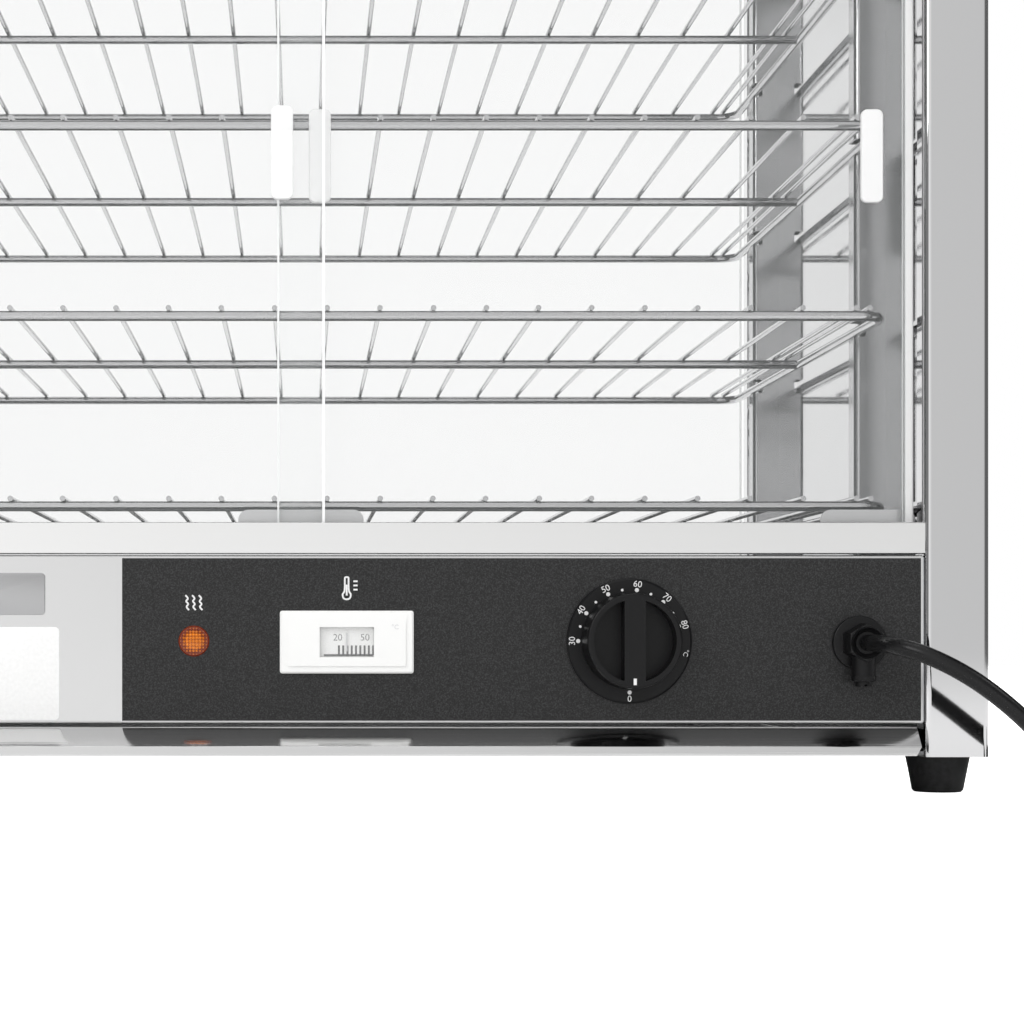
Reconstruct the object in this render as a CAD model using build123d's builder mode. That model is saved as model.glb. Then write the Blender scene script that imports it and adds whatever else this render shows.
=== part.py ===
from build123d import *
import math
import os

# Heated display cabinet for pies, seen from the side where it is served and switched.
# X runs to the right along the control panel, Y runs away from it, Z is up.
# Sizes are in millimetres and the origin is under the middle of the whole box, on the table.

os.makedirs("parts", exist_ok=True)

# Overall sizes
cabinet_width = 660.0
cabinet_depth = 437.0
cabinet_height = 655.0
knob_proud = 20.0
foot_height = 18.0

# Sheet metal
casing_sheet = 1.0
liner_sheet = 0.8
column_width = 31.0
column_return = 14.0
column_radius = 3.0
fold_radius = 1.5
liner_inset = 3.0
liner_lip = 13.0
liner_lip_setback = 3.0

# Levels of the lower fascias, the door tracks and the header
tray_front_low = 18.7
tray_lip_high = 22.9
tray_front_high = 32.4
panel_low = 33.9
panel_high = 114.8
panel_flange = 12.0
panel_end_gap = 1.0
rail_low = 115.8
rail_high = 130.6
header_drop = 60.0
lid_height = 12.0
ceiling_drop = 42.0

# Sliding doors and the fixed pane
glass = 5.0
pane_side_play = 0.6
track_wall = 1.0
track_hem = 2.3
track_rib = 1.6
door_overlap = 23.0
door_end_gap = 2.5
running_gap = 0.3
door_head_play = 5.0
edge_strip_width = 4.0
grip_width = 10.6
grip_height = 45.0
grip_thickness = 2.5
grip_inset = 15.3
grip_centre_height = 308.0
clip_width = 61.0
clip_end_width = 46.0
clip_rise = 7.0
clip_sheet = 0.9

# Wire racks and their notched posts
rack_count = 5
first_rack_height = 140.0
top_rack_room = 98.0
frame_wire = 5.0
grid_wire = 2.8
rod_sides = 8
rack_side_gap = 14.5
rack_setback = 30.0
rack_corner = 12.0
rod_pitch = 26.0
edge_rod_inset = 7.5
post_setback = 83.0
post_width = 15.0
post_reach = 16.0
post_sheet = 1.2
post_low = 117.0
post_head_gap = 9.0
notch_height = 8.7
notch_depth = 6.2
notch_radius = 1.8
rivet_setback = 41.0
rivet_first = 137.3
rivet_top_gap = 43.7
rivet_count = 7
rivet_radius = 3.0
rivet_dome = 1.3

# Crumb tray and its runners
tray_side_gap = 7.0
tray_sheet = 0.8
tray_depth = 398.0
tray_wall_height = 10.5
tray_front_sheet = 1.0
tray_lip_depth = 2.4
tray_end_chamfer = 3.5
runner_sheet = 1.0
runner_leg = 17.0
runner_rise = 34.0

# Control panel and what it carries
overlay_sheet = 0.4
overlay_width = 383.7
box_depth = 68.0
dial_inset = 141.9
dial_z = 73.6
dial_bezel_radius = 30.0
dial_bezel_thickness = 2.0
knob_radius = 23.0
knob_taper = 2.0
knob_pocket_radius = 19.5
knob_pocket_depth = 11.0
knob_bar = 10.0
shaft_radius = 3.0
shaft_play = 0.05
bushing_radius = 5.0
bushing_play = 0.3
thermostat_size = 38.0
thermostat_depth = 24.0
pilot_inset = 350.3
pilot_radius = 7.4
pilot_barrel_radius = 6.0
pilot_barrel_length = 26.0
pilot_proud = 1.6
meter_inset = 277.1
meter_z = 73.1
meter_width = 64.0
meter_height = 30.0
meter_proud = 2.2
meter_border_width = 56.3
meter_border_height = 23.0
meter_border_rise = 0.8
window_width = 26.0
window_height = 14.4
window_thickness = 1.0
meter_body_width = 54.0
meter_body_height = 21.0
meter_body_depth = 22.0
cutout_play = 0.5
scale_thickness = 0.6
pointer_width = 0.7
pointer_height = 9.0

# Heating elements and the thermostat's sensing bulb
element_radius = 4.0
element_height = 78.0
element_bend = 20.0
element_inner_x = 40.0
element_return_x = 100.0
element_outer_x = 250.0
element_near_run = 62.0
element_far_run = 225.0
crossbar_height = 9.0
crossbar_depth = 14.0
bulb_radius = 3.0
bulb_length = 86.0
capillary_radius = 0.8
capillary_offset = 14.9
capillary_z = 88.0
capillary_bend = 7.0

# Cord, its gland, coil and plug
cord_radius = 4.0
gland_inset = 31.7
gland_z = 72.7
gland_flange_radius = 13.0
gland_flange_thickness = 2.6
gland_hex_radius = 10.4
gland_reach = 18.0
gland_boss_radius = 6.0
gland_boss_drop = 18.5
gland_screw_radius = 4.0
cord_rest = 4.1
coil_offset = 160.7
coil_setback = 25.0
coil_first_radius = 54.25
coil_step = 5.1
coil_turn_gap = 0.9
coil_half_turns_in = 4
coil_half_turns_out = 5
coil_lead = 8.0
coil_tail = 42.0
plug_length = 38.0
plug_width = 27.0
plug_neck_length = 16.0
blade_length = 18.0
blade_width = 6.4
blade_thickness = 1.6
blade_spacing = 12.0

# Feet
foot_top_radius = 15.5
foot_bottom_radius = 12.2
foot_inset = 18.0
foot_setback = 25.0
foot_recess_radius = 6.0
foot_recess_depth = 6.0
screw_head_radius = 4.5
screw_head_height = 3.0
screw_radius = 2.5

# Places worked out from the sizes above
near = -(cabinet_depth - knob_proud) / 2
far = near + cabinet_depth
middle = (near + far) / 2
side = cabinet_width / 2
opening = side - column_width
wall = opening + liner_inset
casing_high = cabinet_height - lid_height
header_low = cabinet_height - header_drop
track_top = cabinet_height - ceiling_drop
foot_x = side - foot_inset
rail_floor = rail_low + track_wall
outer_pane = near + track_hem + pane_side_play
rib_near = outer_pane + glass + pane_side_play
inner_pane = rib_near + track_rib + pane_side_play
track_back = inner_pane + glass + pane_side_play
pane_low = rail_floor + running_gap
pane_high = track_top - track_wall - door_head_play
door_left_edge = -opening + door_end_gap
door_right_edge = door_overlap / 2
rack_near = near + rack_setback
rack_far = far - rack_setback
panel_face = near + overlay_sheet
panel_back = panel_face + casing_sheet
box_back = panel_back + box_depth
rack_half_width = wall - rack_side_gap
edge_rod_x = rack_half_width - edge_rod_inset
rods_each_side = math.floor((edge_rod_x - grid_wire) / rod_pitch + 0.5)
rack_pitch = (track_top - top_rack_room - first_rack_height) / (rack_count - 1)
post_high = track_top - post_head_gap
rivet_pitch = (track_top - rivet_top_gap - rivet_first) / (rivet_count - 1)
tray_half_width = wall - tray_side_gap
overlay_left = opening - panel_end_gap - overlay_width
dial_x = opening - dial_inset
pilot_x = opening - pilot_inset
meter_x = opening - meter_inset
capillary_x = dial_x + capillary_offset
gland_x = opening - gland_inset
coil_x = gland_x + coil_offset
rack_heights = [first_rack_height + rack_pitch * k for k in range(rack_count)]


def keep(builder, name):
    """Name a finished piece and write it."""
    builder.part.label = name
    export_step(builder.part, f"parts/{name}.step")


def folded_sheet(corners, sheet, bend, towards):
    """Section of a bent sheet: a rounded line through its corners, made thick to one side."""
    with BuildLine() as outline:
        FilletPolyline(*corners, radius=bend)
        offset(amount=sheet, side=towards)
    make_face(outline.edges())


def rectangle_between(low, high, mode=Mode.ADD):
    """Rectangle of a section, given by two opposite corners."""
    with Locations(((low[0] + high[0]) / 2, (low[1] + high[1]) / 2)):
        Rectangle(high[0] - low[0], high[1] - low[1], mode=mode)


def block_between(low, high, mode=Mode.ADD):
    """Straight block given by two opposite corners."""
    with Locations(((low[0] + high[0]) / 2, (low[1] + high[1]) / 2, (low[2] + high[2]) / 2)):
        Box(high[0] - low[0], high[1] - low[1], high[2] - low[2], mode=mode)


# Side casings: the outer skin folds round into both columns and turns in behind them
with BuildPart() as right_casing:
    with BuildSketch(Plane.XY.offset(foot_height)):
        folded_sheet(
            [
                (opening, near + column_return),
                (opening, near),
                (side, near),
                (side, far),
                (opening, far),
                (opening, far - column_return),
            ],
            casing_sheet,
            column_radius,
            Side.LEFT,
        )
    extrude(amount=casing_high - foot_height)
    with BuildSketch(Plane.XY.offset(foot_height)):
        rectangle_between(
            (opening + casing_sheet, near + casing_sheet),
            (side - casing_sheet, far - casing_sheet),
        )
        with Locations((foot_x, near + foot_setback), (foot_x, far - foot_setback)):
            Circle(screw_radius, mode=Mode.SUBTRACT)
    extrude(amount=casing_sheet)
keep(right_casing, "right_side_casing")

with BuildPart() as left_casing:
    mirror(right_casing.part, about=Plane.YZ)
keep(left_casing, "left_side_casing")

# Side liners: bright inner walls, set back a step from lips that lie on the column returns
liner_low = panel_low
with BuildPart() as right_liner:
    lip_near = near + liner_lip_setback
    lip_far = far - liner_lip_setback
    lip_face = opening + casing_sheet
    with BuildSketch(Plane.XY.offset(liner_low)):
        folded_sheet(
            [
                (lip_face, lip_near),
                (lip_face, lip_near + liner_lip),
                (wall, lip_near + liner_lip + liner_inset),
                (wall, lip_far - liner_lip - liner_inset),
                (lip_face, lip_far - liner_lip),
                (lip_face, lip_far),
            ],
            liner_sheet,
            fold_radius,
            Side.RIGHT,
        )
    extrude(amount=track_top - liner_low)
keep(right_liner, "right_side_liner")

with BuildPart() as left_liner:
    mirror(right_liner.part, about=Plane.YZ)
keep(left_liner, "left_side_liner")

# Top lid: a shallow pan turned over, standing on the tops of the casings
with BuildPart() as lid:
    with BuildSketch(Plane.XY.offset(casing_high)):
        with Locations((0, middle)):
            RectangleRounded(cabinet_width, cabinet_depth, column_radius)
    extrude(amount=lid_height)
    fillet(lid.faces().sort_by(Axis.Z)[-1].edges(), radius=column_radius)
    offset(amount=-casing_sheet, openings=lid.faces().sort_by(Axis.Z)[0])
keep(lid, "top_lid")

# Headers: the faces above the glass, with a flange turned in under the lid and a hem below
with BuildPart() as near_header:
    with BuildSketch(Plane.YZ):
        folded_sheet(
            [
                (near + track_hem, casing_high),
                (near, casing_high),
                (near, header_low),
            ],
            casing_sheet,
            fold_radius,
            Side.LEFT,
        )
    extrude(amount=opening, both=True)
keep(near_header, "near_header")

with BuildPart() as far_header:
    mirror(near_header.part, about=Plane.XZ.offset(-middle))
keep(far_header, "far_header")

# Ceiling: a flat sheet on top of the tracks, widened between the columns to lie on the liners
with BuildPart() as ceiling:
    with BuildSketch(Plane.XY.offset(track_top)):
        rectangle_between((-opening, near + casing_sheet), (opening, far - casing_sheet))
        ear = wall + liner_sheet
        ear_start = lip_near + liner_lip + liner_inset
        ear_end = lip_far - liner_lip - liner_inset
        rectangle_between((-ear, ear_start), (ear, ear_end))
    extrude(amount=liner_sheet)
keep(ceiling, "ceiling_sheet")

# Lower door track: a hemmed front wall, a rib between the two panes and a back wall
with BuildPart() as lower_track:
    with BuildSketch(Plane.YZ):
        rectangle_between((near, rail_low), (track_back + track_wall, rail_floor))
        rectangle_between((near, rail_low), (near + track_wall, rail_high))
        hem_low = rail_floor + (rail_high - rail_floor) / 3
        rectangle_between((near, hem_low), (near + track_hem, rail_high))
        rectangle_between((rib_near, rail_low), (rib_near + track_rib, rail_high - track_wall))
        rectangle_between((track_back, rail_low), (track_back + track_wall, rail_high))
    extrude(amount=opening, both=True)
    top_edges = lower_track.edges().filter_by(Axis.X).group_by(Axis.Z)[-1]
    fillet(top_edges.group_by(Axis.Y)[0], radius=track_wall)
keep(lower_track, "near_lower_track")

# Upper door track: the same three walls, hanging behind the header
with BuildPart() as upper_track:
    with BuildSketch(Plane.YZ):
        track_mouth = header_low + track_hem
        rectangle_between(
            (near + casing_sheet, track_top - track_wall),
            (track_back + track_wall, track_top),
        )
        rectangle_between((near + casing_sheet, track_mouth), (near + track_hem, track_top))
        rectangle_between((rib_near, track_mouth), (rib_near + track_rib, track_top))
        rectangle_between((track_back, track_mouth), (track_back + track_wall, track_top))
    extrude(amount=opening, both=True)
keep(upper_track, "near_upper_track")

# Far rails: one slot each, for the fixed pane on the customers' side
far_slot = far - track_hem
far_pane = far_slot - pane_side_play - glass
far_back = far_pane - pane_side_play
with BuildPart() as far_lower_rail:
    with BuildSketch(Plane.YZ):
        rectangle_between((far_back - track_wall, rail_low), (far, rail_floor))
        rectangle_between((far_slot, rail_low), (far, rail_high))
        rectangle_between((far_back - track_wall, rail_low), (far_back, rail_high))
    extrude(amount=opening, both=True)
    top_edges = far_lower_rail.edges().filter_by(Axis.X).group_by(Axis.Z)[-1]
    fillet(top_edges.group_by(Axis.Y)[-1], radius=track_wall)
keep(far_lower_rail, "far_lower_rail")

with BuildPart() as far_upper_rail:
    with BuildSketch(Plane.YZ):
        rectangle_between((far_back - track_wall, track_top - track_wall), (far - casing_sheet, track_top))
        rectangle_between((far_slot, track_mouth), (far - casing_sheet, track_top))
        rectangle_between((far_back - track_wall, track_mouth), (far_back, track_top))
    extrude(amount=opening, both=True)
keep(far_upper_rail, "far_upper_rail")

# Fixed pane, standing on its rail
with BuildPart() as customer_pane:
    pane_half = opening - door_end_gap
    block_between((-pane_half, far_pane, rail_floor), (pane_half, far_pane + glass, pane_high))
    chamfer(customer_pane.edges().filter_by(Axis.Z), length=glass / 10)
keep(customer_pane, "customer_glass")


# Sliding doors: a bare pane, a clear strip on its outer edge and two grips
def make_door(name, pane_near, left, right, strip_left):
    """One sliding door between two x places, with its edge strip on the column side."""
    strip_right = strip_left + edge_strip_width
    pane_left = strip_right if strip_left == left else left
    pane_right = strip_left if strip_left > left else right
    pane_far = pane_near + glass
    with BuildPart() as pane:
        block_between((pane_left, pane_near, pane_low), (pane_right, pane_far, pane_high))
        chamfer(pane.edges().filter_by(Axis.Z), length=glass / 10)
    keep(pane, name + "_door_glass")
    with BuildPart() as strip:
        block_between((strip_left, pane_near, pane_low), (strip_right, pane_far, pane_high))
        strip_side = Axis.X if strip_left > left else -Axis.X
        fillet(strip.faces().sort_by(strip_side)[-1].edges().filter_by(Axis.Z), radius=glass / 4)
    keep(strip, name + "_door_edge_strip")
    with BuildPart() as grips:
        with BuildSketch(Plane.XZ.offset(-pane_near)):
            grip_offset = grip_inset + grip_width / 2
            with Locations((left + grip_offset, grip_centre_height), (right - grip_offset, grip_centre_height)):
                RectangleRounded(grip_width, grip_height, 3)
        extrude(amount=grip_thickness)
        fillet(grips.faces().group_by(Axis.Y)[0].edges(), radius=grip_thickness / 3)
    keep(grips, name + "_door_grips")


make_door("left", outer_pane, door_left_edge, door_right_edge, door_left_edge)
make_door(
    "right",
    inner_pane,
    -door_right_edge,
    -door_left_edge,
    -door_left_edge - edge_strip_width,
)

# Track clips: spring plates behind the lower track, one in the middle and one at each end
with BuildPart() as clips:
    clip_near = track_back + track_wall
    clip_places = [0, -opening + clip_end_width / 2, opening - clip_end_width / 2]
    clip_widths = [clip_width, clip_end_width, clip_end_width]
    for clip_x, width in zip(clip_places, clip_widths):
        with BuildSketch(Plane.XZ.offset(-clip_near)):
            rectangle_between((clip_x - width / 2, rail_floor), (clip_x + width / 2, rail_high + clip_rise))
            top_corners = vertices().group_by(Axis.Y)[-1]
            fillet(top_corners, radius=clip_rise * 0.7)
        extrude(amount=-clip_sheet)
keep(clips, "track_clips")

# Rack posts: folded channels against the liners, notched at each rack level
notch_seats = [height - frame_wire / 2 - running_gap for height in rack_heights]


def make_post(name, near_edge, hand):
    """One notched post whose nearer side is at near_edge, on the right (1) or the left (-1)."""
    with BuildPart() as post:
        with BuildSketch(Plane.XY.offset(post_low)):
            post_face = wall - post_reach
            folded_sheet(
                [
                    (hand * wall, near_edge),
                    (hand * post_face, near_edge),
                    (hand * post_face, near_edge + post_width),
                    (hand * wall, near_edge + post_width),
                ],
                post_sheet,
                post_sheet + fold_radius,
                Side.RIGHT if hand > 0 else Side.LEFT,
            )
        extrude(amount=post_high - post_low)
        with BuildSketch(Plane.XZ.offset(-near_edge)):
            with Locations(*[(hand * post_face, seat + notch_height / 2) for seat in notch_seats]):
                RectangleRounded(2 * notch_depth, notch_height, notch_radius)
        extrude(amount=-post_width, mode=Mode.SUBTRACT)
    keep(post, name)


make_post("near_right_rack_post", near + post_setback, 1)
make_post("near_left_rack_post", near + post_setback, -1)
make_post("far_right_rack_post", far - post_setback - post_width, 1)
make_post("far_left_rack_post", far - post_setback - post_width, -1)

# Wire racks: a closed frame of thick wire, one thick wire across the middle and thin rods on top
rod_height = frame_wire / 2 + grid_wire / 2
rod_places = [rod_pitch * (k + 0.5) for k in range(rods_each_side)]
rod_places = rod_places + [edge_rod_x]
with BuildPart() as rack:
    with BuildLine(Plane.XY) as rack_loop:
        frame_depth = rack_far - rack_near
        corner_x = rack_half_width - rack_corner
        corner_near = rack_near + rack_corner
        corner_far = rack_far - rack_corner
        Line((0, rack_near), (corner_x, rack_near))
        CenterArc((corner_x, corner_near), rack_corner, -90, 90)
        Line((rack_half_width, corner_near), (rack_half_width, corner_far))
        CenterArc((corner_x, corner_far), rack_corner, 0, 90)
        Line((corner_x, rack_far), (-corner_x, rack_far))
        CenterArc((-corner_x, corner_far), rack_corner, 90, 90)
        Line((-rack_half_width, corner_far), (-rack_half_width, corner_near))
        CenterArc((-corner_x, corner_near), rack_corner, 180, 90)
        Line((-corner_x, rack_near), (0, rack_near))
    with BuildSketch(Plane((0, rack_near, 0), z_dir=(1, 0, 0))):
        Circle(frame_wire / 2)
    sweep(path=rack_loop.wires()[0])
    with BuildSketch(Plane.YZ.offset(-rack_half_width + frame_wire / 2)):
        with Locations((middle, 0)):
            Circle(frame_wire / 2)
    extrude(amount=2 * rack_half_width - frame_wire)
    with BuildSketch(Plane.XZ.offset(-rack_near + frame_wire / 2)):
        with Locations(*[(hand * x, rod_height) for x in rod_places for hand in (-1, 1)]):
            RegularPolygon(grid_wire / 2, rod_sides, major_radius=False, rotation=180 / rod_sides)
    extrude(amount=-(frame_depth + frame_wire))

for number, height in enumerate(rack_heights, start=1):
    with BuildPart() as placed_rack:
        with Locations((0, 0, height)):
            add(rack.part)
    keep(placed_rack, f"wire_rack_{number}")

# Rivets along the liners, with domed heads
with BuildPart() as rivets:
    dome_sphere = (rivet_radius**2 + rivet_dome**2) / (2 * rivet_dome)
    for hand in (-1, 1):
        for y in (near + rivet_setback, far - rivet_setback):
            for k in range(rivet_count):
                centre = (hand * wall, y, rivet_first + rivet_pitch * k)
                with BuildSketch(Plane(centre, x_dir=(-hand, 0, 0), z_dir=(0, hand, 0))):
                    with BuildLine():
                        Line((0, 0), (rivet_dome, 0))
                        RadiusArc((rivet_dome, 0), (0, rivet_radius), -dome_sphere)
                        Line((0, rivet_radius), (0, 0))
                    make_face()
                revolve(axis=Axis(centre, (hand, 0, 0)))
keep(rivets, "liner_rivets")

# Control panel: a folded sheet with cut-outs, carrying a dark overlay on its right part
holes_plane = Plane.XZ.offset(-panel_back)
with BuildPart() as panel:
    with BuildSketch(Plane.YZ):
        folded_sheet(
            [
                (panel_face + panel_flange, panel_low),
                (panel_face, panel_low),
                (panel_face, panel_high),
                (panel_face + panel_flange, panel_high),
            ],
            casing_sheet,
            fold_radius,
            Side.RIGHT,
        )
    extrude(amount=opening - panel_end_gap, both=True)
    with BuildSketch(holes_plane) as panel_holes:
        with Locations((dial_x, dial_z)):
            Circle(bushing_radius + bushing_play)
        with Locations((pilot_x, dial_z)):
            Circle(pilot_barrel_radius + bushing_play)
        with Locations((meter_x, meter_z)):
            Rectangle(meter_body_width + cutout_play, meter_body_height + cutout_play)
    extrude(amount=2 * (panel_back - near), mode=Mode.SUBTRACT)
keep(panel, "control_panel")

with BuildPart() as overlay:
    with BuildSketch(Plane.XZ.offset(-panel_face)):
        rectangle_between(
            (overlay_left, panel_low + fold_radius),
            (opening - panel_end_gap - casing_sheet, panel_high - fold_radius),
        )
        add(panel_holes.sketch_local, mode=Mode.SUBTRACT)
    extrude(amount=overlay_sheet)
keep(overlay, "panel_overlay")

# Wiring box: an open shell behind the panel, touching the column returns at its ends
with BuildPart() as wiring_box:
    block_between(
        (-opening, panel_back + fold_radius - casing_sheet, panel_low + casing_sheet),
        (opening, box_back, panel_high - casing_sheet),
    )
    offset(amount=-casing_sheet, openings=wiring_box.faces().sort_by(Axis.Y)[0])
    with BuildSketch(Plane.XZ.offset(-box_back)):
        terminal_places = [
            (hand * x, element_height) for hand in (-1, 1) for x in (element_inner_x, element_return_x)
        ]
        with Locations(*terminal_places):
            Circle(element_radius + bushing_play)
        with Locations((capillary_x, capillary_z)):
            Circle(capillary_radius + bushing_play)
    extrude(amount=2 * casing_sheet, mode=Mode.SUBTRACT)
keep(wiring_box, "wiring_box")

# Far fascia: a folded sheet below the fixed pane
with BuildPart() as far_fascia:
    with BuildSketch(Plane.YZ):
        folded_sheet(
            [
                (far - panel_flange, tray_front_low),
                (far, tray_front_low),
                (far, panel_high),
                (far - panel_flange, panel_high),
            ],
            casing_sheet,
            fold_radius,
            Side.LEFT,
        )
    extrude(amount=opening, both=True)
keep(far_fascia, "far_fascia")


# Tray runners: angles riveted to the backs of the liners, resting on the casing floors
runner_low = foot_height + casing_sheet
runner_face = wall + liner_sheet
runner_start = near + column_return + 2 * fold_radius
runner_end = far - panel_flange - 2 * fold_radius


def make_runner(name, hand):
    """One angle that the tray slides on."""
    with BuildPart() as runner:
        with BuildSketch(Plane.XZ.offset(-runner_start)):
            folded_sheet(
                [
                    (hand * (runner_face - runner_leg), runner_low),
                    (hand * (runner_face + runner_sheet), runner_low),
                    (hand * (runner_face + runner_sheet), runner_low + runner_rise),
                ],
                runner_sheet,
                fold_radius,
                Side.LEFT if hand > 0 else Side.RIGHT,
            )
        extrude(amount=-(runner_end - runner_start))
    keep(runner, name)


make_runner("right_tray_runner", 1)
make_runner("left_tray_runner", -1)

# Crumb tray: a folded pan with a front wall and a bright pull lip, its front ends cut off at a slant
tray_floor = runner_low + runner_sheet + running_gap
tray_front = near + tray_lip_depth
with BuildPart() as tray:
    block_between(
        (-tray_half_width, tray_front, tray_floor),
        (tray_half_width, tray_front + tray_depth, tray_floor + tray_wall_height),
    )
    fillet(tray.edges().filter_by(Axis.Y).group_by(Axis.Z)[0], radius=fold_radius)
    offset(amount=-tray_sheet, openings=tray.faces().sort_by(Axis.Z)[-1])
    with BuildSketch(Plane.XZ.offset(-tray_front)):
        rectangle_between((-tray_half_width, tray_front_low), (tray_half_width, tray_front_high))
        upper_corners = vertices().group_by(Axis.Y)[-1]
        chamfer(upper_corners, length=tray_end_chamfer)
    extrude(amount=tray_front_sheet)
    block_between(
        (-tray_half_width + tray_end_chamfer, near, tray_front_low),
        (tray_half_width - tray_end_chamfer, tray_front, tray_lip_high),
    )
    lip_edges = tray.faces().sort_by(Axis.Y)[0].edges().filter_by(Axis.X)
    fillet(lip_edges, radius=tray_front_sheet)
keep(tray, "crumb_tray")

# Heating elements: two bent rods in the well under the racks, with their ends in the wiring box
crossbar_y = near + element_far_run + crossbar_depth
for name, hand in (("left", -1), ("right", 1)):
    with BuildPart() as element:
        element_start = box_back - 12.0
        with BuildLine(Plane.XY.offset(element_height)) as element_path:
            FilletPolyline(
                (hand * element_inner_x, element_start),
                (hand * element_inner_x, box_back + element_far_run),
                (hand * element_outer_x, box_back + element_far_run),
                (hand * element_outer_x, box_back + element_near_run),
                (hand * element_return_x, box_back + element_near_run),
                (hand * element_return_x, element_start),
                radius=element_bend,
            )
        with BuildSketch(Plane((hand * element_inner_x, element_start, element_height), z_dir=(0, 1, 0))):
            Circle(element_radius)
        sweep(path=element_path.wires()[0])
    keep(element, f"{name}_heating_element")

with BuildPart() as crossbar:
    bar_top = element_height - element_radius - 0.05
    with BuildSketch(Plane.YZ):
        folded_sheet(
            [
                (crossbar_y, bar_top - crossbar_height),
                (crossbar_y, bar_top),
                (crossbar_y + crossbar_depth, bar_top),
                (crossbar_y + crossbar_depth, bar_top - crossbar_height),
            ],
            casing_sheet,
            fold_radius,
            Side.RIGHT,
        )
    extrude(amount=wall, both=True)
keep(crossbar, "element_crossbar")

# Thermostat: a body with a threaded bushing, a turning shaft and a bulb on a thin tube
with BuildPart() as thermostat:
    block_between(
        (dial_x - thermostat_size / 2, panel_back, dial_z - thermostat_size / 2),
        (dial_x + thermostat_size / 2, panel_back + thermostat_depth, dial_z + thermostat_size / 2),
    )
    chamfer(thermostat.edges().filter_by(Axis.Y), length=thermostat_size / 8)
    with BuildSketch(Plane((dial_x, near, dial_z), z_dir=(0, 1, 0))):
        Circle(bushing_radius)
    extrude(amount=panel_back - near)
    with BuildSketch(Plane((dial_x, near, dial_z), z_dir=(0, 1, 0))):
        Circle(shaft_radius + shaft_play)
    extrude(amount=thermostat_depth / 2, mode=Mode.SUBTRACT)
keep(thermostat, "thermostat_body")

knob_front = near - knob_proud
knob_back = near - dial_bezel_thickness - running_gap
shaft_front = knob_back - (knob_back - knob_front) / 3
shaft_plane = Plane((dial_x, shaft_front, dial_z), z_dir=(0, 1, 0))
shaft_length = near + thermostat_depth / 2 - shaft_play - shaft_front
with BuildPart() as shaft:
    with BuildSketch(shaft_plane):
        Circle(shaft_radius)
    extrude(amount=shaft_length)
keep(shaft, "thermostat_shaft")

with BuildPart() as bulb:
    tube_start = panel_back + thermostat_depth
    tube_y = box_back + bulb_radius + capillary_bend
    bulb_start = capillary_x + 2 * capillary_bend
    with BuildLine(Plane.XY.offset(capillary_z)) as capillary:
        FilletPolyline(
            (capillary_x, tube_start),
            (capillary_x, tube_y),
            (bulb_start, tube_y),
            radius=capillary_bend,
        )
    with BuildSketch(Plane((capillary_x, tube_start, capillary_z), z_dir=(0, 1, 0))):
        Circle(capillary_radius)
    sweep(path=capillary.wires()[0])
    with BuildSketch(Plane.YZ.offset(bulb_start)):
        with Locations((tube_y, capillary_z)):
            Circle(bulb_radius)
    extrude(amount=bulb_length)
    bulb_ends = bulb.edges().filter_by(GeomType.CIRCLE).group_by(Axis.X)[-1]
    fillet(bulb_ends, radius=bulb_radius * 0.8)
keep(bulb, "thermostat_bulb")

# Dial ring and knob: the knob has two pockets that leave a bar for the fingers
with BuildPart() as dial_bezel:
    with BuildSketch(Plane.XZ.offset(-near)):
        with Locations((dial_x, dial_z)):
            Circle(dial_bezel_radius)
            Circle(bushing_radius + bushing_play, mode=Mode.SUBTRACT)
    extrude(amount=dial_bezel_thickness)
    rim = dial_bezel.edges().filter_by(GeomType.CIRCLE).group_by(Axis.Y)[0].sort_by(SortBy.RADIUS)[-1]
    chamfer(rim, length=dial_bezel_thickness / 2)
keep(dial_bezel, "dial_ring")

with BuildPart() as knob:
    with BuildSketch(Plane((dial_x, knob_back, dial_z), z_dir=(0, -1, 0))):
        Circle(knob_radius)
    extrude(amount=knob_back - knob_front, taper=knob_taper)
    knob_rim = knob.edges().filter_by(GeomType.CIRCLE).group_by(Axis.Y)[0]
    fillet(knob_rim, radius=1.2)
    with BuildSketch(Plane((dial_x, knob_front, dial_z), x_dir=(1, 0, 0), z_dir=(0, -1, 0))):
        Circle(knob_pocket_radius)
        Rectangle(knob_bar, 2 * knob_radius, mode=Mode.SUBTRACT)
    extrude(amount=-knob_pocket_depth, mode=Mode.SUBTRACT)
    with BuildSketch(shaft_plane):
        Circle(shaft_radius)
    extrude(amount=knob_back - shaft_front, mode=Mode.SUBTRACT)
keep(knob, "thermostat_knob")

# Pilot lamp: an amber lens in front of a round lamp body
pilot_plane = Plane((pilot_x, near, dial_z), x_dir=(1, 0, 0), z_dir=(0, -1, 0))
with BuildPart() as pilot_lens:
    with BuildSketch(pilot_plane):
        Circle(pilot_radius)
    extrude(amount=pilot_proud)
    fillet(pilot_lens.edges().group_by(Axis.Y)[0], radius=pilot_proud * 0.9)
keep(pilot_lens, "pilot_lens")

with BuildPart() as pilot_body:
    with BuildSketch(pilot_plane):
        Circle(pilot_barrel_radius)
    extrude(amount=-pilot_barrel_length)
    fillet(pilot_body.edges().group_by(Axis.Y)[-1], radius=pilot_barrel_radius / 3)
keep(pilot_body, "pilot_lamp_body")

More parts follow.
